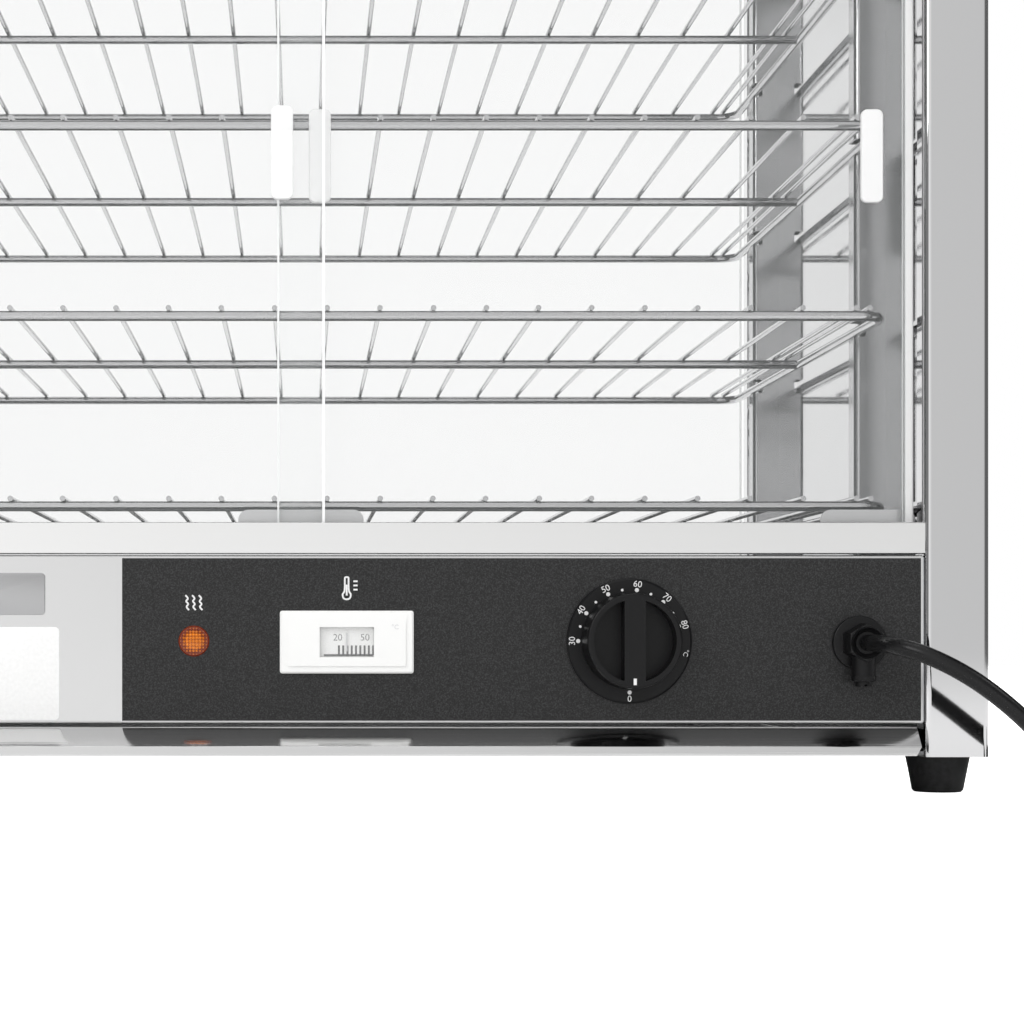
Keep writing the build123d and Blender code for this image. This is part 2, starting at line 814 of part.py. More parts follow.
# Thermometer: a framed window over a scale, with a thin pointer between them
meter_plane = Plane((meter_x, near, meter_z), x_dir=(1, 0, 0), z_dir=(0, -1, 0))
with BuildPart() as meter_bezel:
    with BuildSketch(meter_plane):
        RectangleRounded(meter_width, meter_height, 1.2)
    extrude(amount=meter_proud)
    chamfer(meter_bezel.faces().sort_by(Axis.Y)[0].edges(), length=0.8)
    with BuildSketch(meter_plane.offset(meter_proud)):
        Rectangle(meter_border_width, meter_border_height)
    extrude(amount=meter_border_rise)
    with BuildSketch(meter_plane):
        Rectangle(window_width, window_height)
    extrude(amount=meter_proud + meter_border_rise, mode=Mode.SUBTRACT)
keep(meter_bezel, "thermometer_bezel")

window_back = 0.6
with BuildPart() as meter_window:
    with BuildSketch(meter_plane.offset(window_back)):
        Rectangle(window_width, window_height)
    extrude(amount=window_thickness)
keep(meter_window, "thermometer_window")

pointer_gap = 0.3
pointer_sheet = 0.6
recess_depth = pointer_sheet + 2 * pointer_gap - window_back + scale_thickness
with BuildPart() as meter_body:
    with BuildSketch(meter_plane):
        Rectangle(meter_body_width, meter_body_height)
    extrude(amount=-meter_body_depth)
    with BuildSketch(meter_plane):
        Rectangle(window_width, window_height)
    extrude(amount=-recess_depth, mode=Mode.SUBTRACT)
keep(meter_body, "thermometer_body")

with BuildPart() as meter_scale:
    with BuildSketch(meter_plane.offset(-recess_depth)):
        Rectangle(window_width, window_height)
    extrude(amount=scale_thickness)
keep(meter_scale, "thermometer_scale")

with BuildPart() as pointer:
    with BuildSketch(meter_plane.offset(window_back - pointer_gap - pointer_sheet)):
        Rectangle(pointer_width, pointer_height)
    extrude(amount=pointer_sheet)
keep(pointer, "thermometer_pointer")

# Cord gland: a flange, a hexagon body and a boss below it for the clamping screw
gland_plane = Plane((gland_x, near, gland_z), x_dir=(1, 0, 0), z_dir=(0, -1, 0))
with BuildPart() as gland:
    with BuildSketch(gland_plane):
        Circle(gland_flange_radius)
    extrude(amount=gland_flange_thickness)
    chamfer(gland.edges().group_by(Axis.Y)[0], length=gland_flange_thickness / 3)
    with BuildSketch(gland_plane):
        RegularPolygon(gland_hex_radius, 6)
    extrude(amount=gland_reach)
    mouth_edges = gland.faces().sort_by(Axis.Y)[0].edges()
    chamfer(mouth_edges, length=1.5)
    boss_y = near - gland_flange_thickness - gland_boss_radius
    with BuildSketch(Plane((gland_x, boss_y, gland_z), z_dir=(0, 0, -1))):
        Circle(gland_boss_radius)
    extrude(amount=gland_boss_drop)
keep(gland, "cord_gland")

with BuildPart() as gland_screw:
    with BuildSketch(Plane((gland_x, boss_y, gland_z - gland_boss_drop), z_dir=(0, 0, -1))):
        Circle(gland_screw_radius)
    extrude(amount=2.2)
    with BuildSketch(Plane((gland_x, boss_y, gland_z - gland_boss_drop - 2.2), z_dir=(0, 0, -1))):
        Rectangle(1.2, 2 * gland_screw_radius)
    extrude(amount=-1.0, mode=Mode.SUBTRACT)
keep(gland_screw, "gland_screw")

# Cord: its free stretch leaves the gland, turns to the right and comes down on to the table
cord_route = [
    (gland_x, near - gland_reach, gland_z),
    (gland_x, near - 39.0, gland_z),
    (gland_x + 13.7, near - 55.0, 69.0),
    (gland_x + 35.7, near - 60.0, 57.5),
    (gland_x + 56.7, near - 57.0, 42.0),
    (gland_x + 74.7, near - 49.0, 26.0),
    (gland_x + 92.7, near - 39.5, 11.5),
    (gland_x + 112.7, near - 32.0, 4.9),
    (gland_x + 131.7, near - 29.25, cord_rest),
    (coil_x - coil_lead, near - 29.25, cord_rest),
]
route = [Vector(point) for point in cord_route]
cord_radii = []
for before, here, after in zip(route, route[1:], route[2:]):
    turn = (here - before).get_angle(after - here)
    shorter_run = min((here - before).length, (after - here).length)
    cord_radii.append(0.45 * shorter_run / math.tan(math.radians(turn) / 2))
print("cord bend radii", [round(r, 1) for r in cord_radii])
with BuildPart() as cord:
    with BuildLine() as cord_path:
        FilletPolyline(*cord_route, radius=cord_radii)
    with BuildSketch(Plane(route[0], z_dir=route[1] - route[0])):
        Circle(cord_radius)
    sweep(path=cord_path.wires()[0])
cord_length = cord_path.wires()[0].length
print("cord", round(cord_length, 1), "mm, volume over section times length",
      round(cord.part.volume / (math.pi * cord_radius**2 * cord_length), 4))
keep(cord, "power_cord")

# Coil: one tube that spirals in on the table, climbs where it turns back and spirals out on top
coil_centre = Vector(coil_x, near + coil_setback, 0)
layer_rise = 2 * cord_radius + coil_turn_gap
half_turns = coil_half_turns_in + 1 + coil_half_turns_out
coil_points = []
for k in range(half_turns + 1):
    inward = min(k, coil_half_turns_in)
    outward = max(0, k - coil_half_turns_in - 1)
    radius = coil_first_radius - coil_step * inward + coil_step * outward
    height = cord_rest if k <= coil_half_turns_in else cord_rest + layer_rise
    place = -radius if k % 2 == 0 else radius
    coil_points.append(coil_centre + Vector(0, place, height))


def half_turn(start, end, heading):
    """Two tangent arcs from start to end, leaving along heading and arriving the other way round."""
    reach = (end - start).length / 2
    join = ((start + heading * reach) + (end + heading * reach)) / 2
    first = TangentArc(start, join, tangent=heading)
    TangentArc(join, end, tangent=first % 1)


with BuildPart() as coil:
    with BuildLine() as coil_path:
        lead = coil_points[0] - Vector(coil_lead, 0, 0)
        Line(lead, coil_points[0])
        for k, (start, end) in enumerate(zip(coil_points, coil_points[1:])):
            half_turn(start, end, Vector(1 if k % 2 == 0 else -1, 0, 0))
        tail_way = Vector(1 if half_turns % 2 == 0 else -1, 0, 0)
        tail_end = coil_points[-1] + tail_way * coil_tail
        Line(coil_points[-1], tail_end)
    with BuildSketch(Plane(lead, z_dir=(1, 0, 0))):
        Circle(cord_radius)
    sweep(path=coil_path.wires()[0])
coil_wire = coil_path.wires()[0]
samples = [coil_wire @ (i / 600) for i in range(601)]
spacing = coil_wire.length / 600
skip = int(6 * cord_radius / spacing) + 1
least_gap = min(
    (samples[i] - samples[j]).length - 2 * cord_radius
    for i in range(len(samples))
    for j in range(i + skip, len(samples))
)
print("coil", round(coil_wire.length, 1), "mm, least gap to itself", round(least_gap, 2))
print("volume over section times length",
      round(coil.part.volume / (math.pi * cord_radius**2 * coil_wire.length), 4))
keep(coil, "cord_coil")

# Plug: a ribbed neck, a moulded body and three flat blades
plug_height = 2 * (cord_rest + layer_rise) - 0.4
with BuildPart() as plug:
    with BuildSketch(Plane(tail_end, x_dir=(0, 1, 0), z_dir=tail_way)):
        Circle(cord_radius + 1)
    neck_end = tail_end + tail_way * plug_neck_length
    with BuildSketch(Plane(neck_end, x_dir=(0, 1, 0), z_dir=tail_way)):
        Circle(cord_radius + 4)
    loft()
    with BuildSketch(Plane(neck_end, x_dir=(0, 1, 0), z_dir=tail_way)):
        RectangleRounded(plug_width, plug_height, 6)
    extrude(amount=plug_length - plug_neck_length)
    fillet(plug.faces().sort_by(Axis.X)[-1].edges(), radius=2)
    body_end = tail_end + tail_way * plug_length
    with BuildSketch(Plane(body_end, x_dir=(0, 1, 0), z_dir=tail_way)):
        with Locations((-blade_spacing / 2, 4), (blade_spacing / 2, 4)):
            Rectangle(blade_thickness, blade_width)
        with Locations((0, -5)):
            Rectangle(blade_width, blade_thickness)
    extrude(amount=blade_length)
keep(plug, "cord_plug")

# Feet: tapered rubber with a recess for the screw that holds each one
foot_places = [
    (hand * foot_x, y) for hand in (-1, 1) for y in (near + foot_setback, far - foot_setback)
]
with BuildPart() as feet:
    for x, y in foot_places:
        with BuildSketch(Plane((x, y, 0), x_dir=(1, 0, 0), z_dir=(0, -1, 0))):
            with BuildLine():
                Polyline(
                    (foot_recess_radius, 0),
                    (foot_bottom_radius - 1, 0),
                    (foot_bottom_radius, 1),
                    (foot_top_radius, foot_height),
                    (screw_radius, foot_height),
                    (screw_radius, foot_recess_depth),
                    (foot_recess_radius, foot_recess_depth),
                    close=True,
                )
            make_face()
        revolve(axis=Axis((x, y, 0), (0, 0, 1)))
keep(feet, "feet")

with BuildPart() as foot_screws:
    for x, y in foot_places:
        with BuildSketch(Plane.XY.offset(foot_recess_depth)):
            with Locations((x, y)):
                Circle(screw_head_radius)
        extrude(amount=-screw_head_height)
        with BuildSketch(Plane.XY.offset(foot_recess_depth)):
            with Locations((x, y)):
                Circle(screw_radius)
        extrude(amount=foot_height + 4 * casing_sheet - foot_recess_depth)
keep(foot_screws, "foot_screws")
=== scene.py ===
# %% [markdown]
# # A heated display cabinet for pies
# The CAD model gives every piece its real size and place. This lesson dresses it: finishes for
# steel, glass, wire and rubber, and the small things that CAD left out, such as the dial's numbers.
# It starts by loading the fixed frame, and everything below hangs on it.

# %% Load the frame
import math
import random
import bmesh
import bpy
from mathutils import Matrix, Vector


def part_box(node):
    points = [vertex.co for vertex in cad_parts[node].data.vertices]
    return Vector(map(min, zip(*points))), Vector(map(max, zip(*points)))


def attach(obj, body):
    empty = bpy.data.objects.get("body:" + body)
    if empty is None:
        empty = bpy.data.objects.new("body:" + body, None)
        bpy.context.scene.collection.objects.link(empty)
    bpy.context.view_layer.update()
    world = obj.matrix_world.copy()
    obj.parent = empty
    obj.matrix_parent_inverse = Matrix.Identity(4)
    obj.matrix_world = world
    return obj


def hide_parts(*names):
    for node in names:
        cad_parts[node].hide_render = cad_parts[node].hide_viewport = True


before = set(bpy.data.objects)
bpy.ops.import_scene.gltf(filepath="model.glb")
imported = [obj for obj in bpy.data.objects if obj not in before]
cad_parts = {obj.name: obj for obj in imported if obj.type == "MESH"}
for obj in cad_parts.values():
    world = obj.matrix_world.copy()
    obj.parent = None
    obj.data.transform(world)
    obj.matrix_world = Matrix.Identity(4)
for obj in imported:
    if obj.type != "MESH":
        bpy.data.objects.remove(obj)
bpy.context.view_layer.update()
mm = 0.001
random.seed(7)


# %% [markdown]
# Places are read from the frame, so that nothing here repeats the CAD model's sizes. The front of
# the panel, of the dial and of the knob, and the middle of the dial, the lamp and the thermometer
# are all found from the nodes' boxes.

# %% Places that later cells use
def middle_of(node):
    low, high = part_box(node)
    return (Vector(low) + Vector(high)) / 2


def low_of(node):
    return Vector(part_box(node)[0])


def high_of(node):
    return Vector(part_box(node)[1])


near = low_of("panel_overlay").y
dial = middle_of("dial_ring")
dial_front = low_of("dial_ring").y
knob_front = low_of("thermostat_knob").y
pilot = middle_of("pilot_lens")
meter = middle_of("thermometer_bezel")
print("panel front at", round(near, 4), "dial at", [round(v, 4) for v in dial])


# %% [markdown]
# ## Camera
# The photograph is square on: upright edges stay upright, and the racks' rods run to one vanishing
# point. That point is left of and below the middle, so the lens is shifted rather than turned.

# %% Camera
view_distance = 1.060
eye_height = 71.7 * mm
photo_size = 1024
vanishing_x = 301
vanishing_y = 645
scale_at_front = 0.479 * mm
camera_data = bpy.data.cameras.new("camera")
camera_data.sensor_width = 36
camera_data.lens = view_distance / scale_at_front / photo_size * camera_data.sensor_width
camera_data.shift_x = (photo_size / 2 - vanishing_x) / photo_size
camera_data.shift_y = (vanishing_y - photo_size / 2) / photo_size
camera_data.clip_start = 0.05
camera = bpy.data.objects.new("camera", camera_data)
camera.location = (0, near - view_distance, eye_height)
camera.rotation_euler = (math.pi / 2, 0, 0)
bpy.context.collection.objects.link(camera)
bpy.context.scene.camera = camera
bpy.context.scene.view_settings.view_transform = "Standard"
print("lens", round(camera_data.lens, 1), "mm")


# %% [markdown]
# ## Material helpers
# Each finish starts from the Principled shader. A value that is the same all over is set on the
# shader's own socket, and only what changes over the surface gets nodes.

# %% Start a finish
def finish(name, colour, roughness, metallic=0.0, **sockets):
    material = bpy.data.materials.new(name)
    material.use_nodes = True
    shader = material.node_tree.nodes["Principled BSDF"]
    shader.inputs["Base Color"].default_value = (*colour, 1)
    shader.inputs["Roughness"].default_value = roughness
    shader.inputs["Metallic"].default_value = metallic
    for socket, value in sockets.items():
        shader.inputs[socket.replace("_", " ")].default_value = value
    return material


def add_node(material, kind, **settings):
    node = material.node_tree.nodes.new(kind)
    for key, value in settings.items():
        if key in node.inputs:
            node.inputs[key].default_value = value
        else:
            setattr(node, key, value)
    return node


def join(material, output, socket):
    material.node_tree.links.new(output, socket)


def shader_socket(material, name):
    return material.node_tree.nodes["Principled BSDF"].inputs[name]


# %% [markdown]
# Most finishes vary in two ways: a fine texture that sets the bump, and a broad one that makes the
# gloss uneven, as handling does. Both are noise on Object coordinates, stretched where the metal
# has a grain.

# %% Fine and broad variation
def noise_on(material, scale, stretch=(1, 1, 1), detail=3.0):
    place = add_node(material, "ShaderNodeTexCoord")
    mapping = add_node(material, "ShaderNodeMapping")
    mapping.inputs["Scale"].default_value = stretch
    noise = add_node(material, "ShaderNodeTexNoise")
    noise.inputs["Scale"].default_value = scale
    noise.inputs["Detail"].default_value = detail
    join(material, place.outputs["Object"], mapping.inputs["Vector"])
    join(material, mapping.outputs["Vector"], noise.inputs["Vector"])
    return noise


def spread(material, output, low, high, from_low=0.3, from_high=0.7):
    spread_node = add_node(material, "ShaderNodeMapRange")
    spread_node.inputs["From Min"].default_value = from_low
    spread_node.inputs["From Max"].default_value = from_high
    spread_node.inputs["To Min"].default_value = low
    spread_node.inputs["To Max"].default_value = high
    join(material, output, spread_node.inputs["Value"])
    return spread_node.outputs["Result"]


def tint(material, output, dark, light, from_low=0.3, from_high=0.7):
    ramp = add_node(material, "ShaderNodeValToRGB")
    ramp.color_ramp.elements[0].position = from_low
    ramp.color_ramp.elements[0].color = (*dark, 1)
    ramp.color_ramp.elements[1].position = from_high
    ramp.color_ramp.elements[1].color = (*light, 1)
    join(material, output, ramp.inputs["Fac"])
    join(material, ramp.outputs["Color"], shader_socket(material, "Base Color"))


def bumps(material, output, strength, distance):
    bump = add_node(material, "ShaderNodeBump")
    bump.inputs["Strength"].default_value = strength
    bump.inputs["Distance"].default_value = distance
    join(material, output, bump.inputs["Height"])
    join(material, bump.outputs["Normal"], shader_socket(material, "Normal"))


def uneven_gloss(material, output, low, high):
    join(material, spread(material, output, low, high), shader_socket(material, "Roughness"))


# %% [markdown]
# ## Steel
# Stainless sheet comes in three states here: with a faint grain along the sheet for the casing,
# the rails, the posts and the tray; bright annealed and slightly wavy for the inner walls; and dull
# from the mill for the hidden angles. A picture of brushed metal would do, but noise stretched
# along one axis gives a grain that follows the sheet at any size.

# %% Steel finishes
along_x, along_z = 0, 2
across_grain = 260
with_grain = 3


def brushed(name, grain_way, colour, low, high, grain_depth=0.02 * mm):
    material = finish(name, colour, 0.3, 1.0)
    stretch = [across_grain] * 3
    stretch[grain_way] = with_grain
    grain = noise_on(material, 4.0, stretch, 4.0)
    broad = noise_on(material, 5.0, (1, 1, 1), 2.0)
    uneven_gloss(material, broad.outputs["Fac"], low, high)
    bumps(material, grain.outputs["Fac"], 0.05, grain_depth)
    return material


steel_upright = brushed("steel_grain_upright", along_z, (0.66, 0.66, 0.665), 0.03, 0.06)
steel_across = brushed("steel_grain_across", along_x, (0.84, 0.84, 0.835), 0.14, 0.2)
steel_panel = brushed("panel_steel", along_x, (0.68, 0.68, 0.68), 0.2, 0.28)
steel_badge = brushed("badge_steel", along_x, (0.45, 0.45, 0.455), 0.2, 0.3)
# The rack posts inside the well take a darker copy of the grained steel: painted shade.
shaded_post_steel = brushed("post_steel_painted_shade", along_z, (0.42, 0.42, 0.425), 0.12, 0.2)
steel_clip = brushed("clip_steel", along_z, (0.6, 0.6, 0.605), 0.28, 0.4)
steel_tray = brushed("tray_steel", along_x, (0.66, 0.66, 0.66), 0.07, 0.12, 0.6 * mm)

bright_steel = finish("bright_steel", (0.57, 0.57, 0.575), 0.05, 1.0)
waves = noise_on(bright_steel, 7.0, (1, 1, 0.45), 1.5)
marks = noise_on(bright_steel, 60.0, (1, 1, 0.3), 4.0)
uneven_gloss(bright_steel, marks.outputs["Fac"], 0.02, 0.08)
bumps(bright_steel, waves.outputs["Fac"], 0.2, 0.0008)

plain_steel = finish("plain_steel", (0.46, 0.47, 0.48), 0.42, 1.0)
spangle = noise_on(plain_steel, 120.0, (1, 1, 1), 2.0)
tint(plain_steel, spangle.outputs["Fac"], (0.38, 0.39, 0.4), (0.52, 0.53, 0.54))
uneven_gloss(plain_steel, spangle.outputs["Fac"], 0.34, 0.5)

chrome_wire = finish("chrome_wire", (0.52, 0.52, 0.525), 0.08, 1.0)
pitting = noise_on(chrome_wire, 900.0, (1, 1, 1), 2.0)
uneven_gloss(chrome_wire, pitting.outputs["Fac"], 0.05, 0.11)
bumps(chrome_wire, pitting.outputs["Fac"], 0.12, 0.0001)

element_sheath = finish("element_sheath", (0.16, 0.145, 0.135), 0.5, 0.9)
scorch = noise_on(element_sheath, 35.0, (1, 1, 1), 4.0)
tint(element_sheath, scorch.outputs["Fac"], (0.11, 0.1, 0.095), (0.25, 0.22, 0.19))


# %% [markdown]
# ## Plastics, film and rubber
# The dark part of the panel is a film with a fine sandy texture: tiny light specks over near black,
# and a shallow bump. Moulded black plastic is smoother, and the feet and the cord are rubber.

# %% Dark finishes
dark_film = finish("dark_film", (0.03, 0.031, 0.034), 0.5, 0.0, Specular_IOR_Level=0.36)
sand = noise_on(dark_film, 1700.0, (1, 1, 1), 2.0)
tint(dark_film, sand.outputs["Fac"], (0.008, 0.008, 0.008), (0.055, 0.055, 0.057), 0.42, 0.86)
uneven_gloss(dark_film, sand.outputs["Fac"], 0.42, 0.6)
bumps(dark_film, sand.outputs["Fac"], 0.35, 0.00008)

black_plastic = finish("black_plastic", (0.005, 0.005, 0.0055), 0.33, 0.0, Specular_IOR_Level=0.24)
grain = noise_on(black_plastic, 1500.0, (1, 1, 1), 2.0)
uneven_gloss(black_plastic, grain.outputs["Fac"], 0.3, 0.44)
bumps(black_plastic, grain.outputs["Fac"], 0.08, 0.00005)

rubber = finish("rubber", (0.011, 0.011, 0.012), 0.5, 0.0, Specular_IOR_Level=0.25)
dust = noise_on(rubber, 400.0, (1, 1, 1), 3.0)
tint(rubber, dust.outputs["Fac"], (0.004, 0.004, 0.004), (0.016, 0.016, 0.017))
uneven_gloss(rubber, dust.outputs["Fac"], 0.45, 0.65)

cord_rubber = finish("cord_rubber", (0.006, 0.006, 0.0065), 0.3, 0.0, Specular_IOR_Level=0.3)
sheath = noise_on(cord_rubber, 700.0, (1, 1, 1), 2.0)
uneven_gloss(cord_rubber, sheath.outputs["Fac"], 0.26, 0.36)
bumps(cord_rubber, sheath.outputs["Fac"], 0.15, 0.00006)

# %% [markdown]
# ## Pale plastics and print
# White plastic takes a trace of noise in its gloss. The white and pale prints, the label's paper
# and the two inks get a fine noise in their colour. The amber of the lamp is moulded in dimples,
# which are Voronoi cells. Its colour has a painted glow of the lamp, lighter in each cell's middle,
# and painted shade towards the rim, where the lamp behind it doesn't reach.

# %% Pale finishes
white_plastic = finish("white_plastic", (0.88, 0.88, 0.87), 0.35)
skin = noise_on(white_plastic, 500.0, (1, 1, 1), 2.0)
uneven_gloss(white_plastic, skin.outputs["Fac"], 0.3, 0.42)

white_print = finish("white_print", (0.82, 0.82, 0.82), 0.5)
print_grain = noise_on(white_print, 2000.0)
tint(white_print, print_grain.outputs["Fac"], (0.76, 0.76, 0.76), (0.86, 0.86, 0.86))

paper_white = finish("paper_white", (0.9, 0.9, 0.9), 0.55)
paper = noise_on(paper_white, 600.0, (1, 1, 1), 4.0)
tint(paper_white, paper.outputs["Fac"], (0.87, 0.87, 0.865), (0.93, 0.93, 0.925))

dark_ink = finish("dark_ink", (0.03, 0.03, 0.03), 0.5)
ink_grain = noise_on(dark_ink, 2000.0)
tint(dark_ink, ink_grain.outputs["Fac"], (0.02, 0.02, 0.02), (0.06, 0.06, 0.06))

pale_mark = finish("pale_mark", (0.6, 0.6, 0.61), 0.4)
mark_grain = noise_on(pale_mark, 900.0)
tint(pale_mark, mark_grain.outputs["Fac"], (0.54, 0.54, 0.55), (0.66, 0.66, 0.67))

grey_ink = finish("grey_ink", (0.2, 0.2, 0.2), 0.5)
grey_grain = noise_on(grey_ink, 2000.0)
tint(grey_ink, grey_grain.outputs["Fac"], (0.13, 0.13, 0.13), (0.26, 0.26, 0.26))

amber = finish("amber", (0.9, 0.2, 0.012), 0.14, 0.0, IOR=1.5)
amber_place = add_node(amber, "ShaderNodeTexCoord")
dimples = add_node(amber, "ShaderNodeTexVoronoi")
dimples.inputs["Scale"].default_value = 640.0  # about 1.6 mm from one to the next
dimples.inputs["Randomness"].default_value = 0.1
join(amber, amber_place.outputs["Object"], dimples.inputs["Vector"])
from_middle = add_node(amber, "ShaderNodeVectorMath", operation="DISTANCE")
from_middle.inputs[1].default_value = (pilot.x, near, pilot.z)
join(amber, amber_place.outputs["Object"], from_middle.inputs[0])
rim_start, rim_end = 3.5 * mm, 6.8 * mm
dark_rim = spread(amber, from_middle.outputs["Value"], 0.0, 0.55, rim_start, rim_end)
# Lighter in each cell's middle is a painted glow of the lamp, and darker at the rim is painted
# shade.
painted_glow_and_rim_shade = add_node(amber, "ShaderNodeMath", operation="ADD")
join(amber, dimples.outputs["Distance"], painted_glow_and_rim_shade.inputs[0])
join(amber, dark_rim, painted_glow_and_rim_shade.inputs[1])
tint(amber, painted_glow_and_rim_shade.outputs["Value"], (1.0, 0.3, 0.02), (0.16, 0.018, 0.002), 0.12, 0.78)


# %% [markdown]
# ## Glass
# A pane is thin and clean, so its faces hardly show while its ground edges catch the light. Rather
# than bend light through three panes, the faces are almost see-through and the edges are not: the
# surface's own direction, from its normal, picks which is which.

# %% Glass and milky plastic
def clear_sheet(name, colour, face_alpha, edge_alpha, roughness):
    material = finish(name, colour, roughness, 0.0, IOR=1.5)
    place = add_node(material, "ShaderNodeTexCoord")
    split = add_node(material, "ShaderNodeSeparateXYZ")
    facing = add_node(material, "ShaderNodeMath", operation="ABSOLUTE")
    join(material, place.outputs["Normal"], split.inputs["Vector"])
    join(material, split.outputs["Y"], facing.inputs[0])
    alpha = spread(material, facing.outputs["Value"], edge_alpha, face_alpha, 0.6, 0.95)
    smears = noise_on(material, 14.0, (1, 1, 0.6), 4.0)
    uneven_gloss(material, smears.outputs["Fac"], roughness, roughness + 0.08)
    join(material, alpha, shader_socket(material, "Alpha"))
    return material


pane_glass = clear_sheet("pane_glass", (0.93, 0.96, 0.955), 0.05, 0.72, 0.03)
milky_plastic = clear_sheet("milky_plastic", (0.97, 0.97, 0.97), 0.8, 0.85, 0.25)
ground_edge = finish("ground_edge", (0.97, 0.98, 0.98), 0.3, 0.0, Alpha=0.88)
edge_frost = noise_on(ground_edge, 400.0, (1, 1, 0.2))
uneven_gloss(ground_edge, edge_frost.outputs["Fac"], 0.25, 0.4)
meter_clear = clear_sheet("meter_clear", (0.95, 0.96, 0.96), 0.1, 0.3, 0.05)


# %% [markdown]
# ## Painting the CAD nodes
# A CAD node whose shape is right keeps it, and only its material slot changes. The cord, its
# coil, the racks, the pilot lens and the gland are painted nowhere, as new pieces stand for them.

# %% Give each CAD node its finish
def paint(material, *nodes):
    for node in nodes:
        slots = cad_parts[node].data.materials
        slots.clear()
        slots.append(material)


paint(steel_upright, "left_side_casing", "right_side_casing")
paint(steel_across, "top_lid", "near_header", "far_header", "near_lower_track", "near_upper_track")
paint(steel_across, "far_lower_rail", "far_upper_rail", "far_fascia")
paint(steel_panel, "control_panel")
paint(steel_clip, "track_clips")
paint(steel_tray, "crumb_tray")
paint(bright_steel, "left_side_liner", "right_side_liner", "ceiling_sheet")
# The posts' darker steel is painted shade.
paint(shaded_post_steel, "near_left_rack_post", "near_right_rack_post")
paint(shaded_post_steel, "far_left_rack_post", "far_right_rack_post")
paint(plain_steel, "wiring_box", "left_tray_runner", "right_tray_runner", "element_crossbar")
paint(plain_steel, "foot_screws", "thermostat_shaft", "thermostat_bulb")
paint(bright_steel, "liner_rivets")
paint(element_sheath, "left_heating_element", "right_heating_element")
paint(dark_film, "panel_overlay")
paint(black_plastic, "dial_ring", "thermostat_knob", "thermostat_body", "pilot_lamp_body")
paint(black_plastic, "thermometer_body", "cord_plug", "gland_screw")
paint(rubber, "feet")
paint(white_plastic, "thermometer_bezel", "thermometer_scale")
paint(pale_mark, "thermometer_pointer")
paint(meter_clear, "thermometer_window")
paint(pane_glass, "customer_glass", "left_door_glass", "right_door_glass")
paint(milky_plastic, "left_door_edge_strip", "right_door_edge_strip")
paint(milky_plastic, "left_door_grips", "right_door_grips")
print("painted", len(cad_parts), "nodes, less what is replaced below")


# %% [markdown]
# ## New pieces
# A new piece is a mesh or curve whose object stays at the origin. It rides on a CAD body and may
# stand in for a CAD node. Text and signs begin as curves and are turned into meshes, which can be
# stood upright and pressed flat.

# %% Put a piece into the scene
def place_piece(name, data, material, body, slot_name, *replaced):
    piece = bpy.data.objects.new(name, data)
    bpy.context.collection.objects.link(piece)
    data.materials.append(material)
    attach(piece, body)
    if replaced:
        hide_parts(*replaced)
    return piece


def mesh_from(bm, name, smooth_angle=None):
    bmesh.ops.recalc_face_normals(bm, faces=bm.faces)
    mesh = bpy.data.meshes.new(name)
    bm.to_mesh(mesh)
    bm.free()
    if smooth_angle is not None:
        mesh.shade_smooth()
        mesh.set_sharp_from_angle(angle=math.radians(smooth_angle))
    return mesh


def mesh_of_curve(curve, name):
    """Mesh of a curve or a text, taken from an object that goes away again."""
    shape = bpy.data.objects.new(name + "_shape", curve)
    bpy.context.collection.objects.link(shape)
    bpy.context.view_layer.update()
    graph = bpy.context.evaluated_depsgraph_get()
    mesh = bpy.data.meshes.new_from_object(shape.evaluated_get(graph))
    bpy.data.objects.remove(shape)
    mesh.name = name
    return mesh


# %% [markdown]
# ## Power cord
# The cord leaves the gland, turns to the right and comes down to the table, and its unseen length
# lies in a flat coil of two layers just outside the picture. It could be a mesh tube, but a NURBS
# curve with a round bevel needs only its route: the first points are listed, and the coil's
# turns come from a loop that spirals in, climbs a layer and spirals out.

# %% Cord route and coil
cord_radius = 4.0 * mm
cord_points = [
    (267.3, -18.0, 72.7),
    (267.3, -39.0, 72.7),
    (281.0, -55.0, 69.0),
    (303.0, -60.0, 57.5),
    (324.0, -57.0, 42.0),
    (342.0, -49.0, 26.0),
    (360.0, -39.5, 11.5),
    (380.0, -32.0, 4.9),
    (399.0, -29.25, 4.1),
    (420.0, -29.25, 4.1),
]
route = [Vector((x * mm, near + y * mm, z * mm)) for x, y, z in cord_points]

coil_centre = Vector((428.0 * mm, near + 25.0 * mm, 0))
first_radius = 54.25 * mm
step_per_half_turn = 5.1 * mm
half_turns_in = 4
half_turns_out = 5
lower_layer = 4.1 * mm
layer_step = 8.9 * mm
upper_layer = lower_layer + layer_step
tail_bow = 0.2 * mm
points_per_half_turn = 8
# A NURBS curve cuts the corners of its points, so they lie this much further out.
corner_cut = 1 / math.cos(math.pi / points_per_half_turn / 2) ** 2
total_half_turns = half_turns_in + 1 + half_turns_out
for count in range(total_half_turns * points_per_half_turn + 1):
    turn = count / points_per_half_turn
    inward = min(turn, half_turns_in)
    outward = max(0, turn - half_turns_in - 1)
    radius = (first_radius - step_per_half_turn * (inward - outward)) * corner_cut
    climb = min(max(turn - half_turns_in, 0), 1)
    height = lower_layer + layer_step * climb
    angle = math.pi * turn - math.pi / 2
    route.append(coil_centre + Vector((radius * math.cos(angle), radius * math.sin(angle), height)))
tail_start = route[-1]
tail_end = Vector((low_of("cord_plug").x, middle_of("cord_plug").y, upper_layer))
route.append((tail_start * 2 + tail_end) / 3 + Vector((0, tail_bow, 0)))
route.append(tail_end)

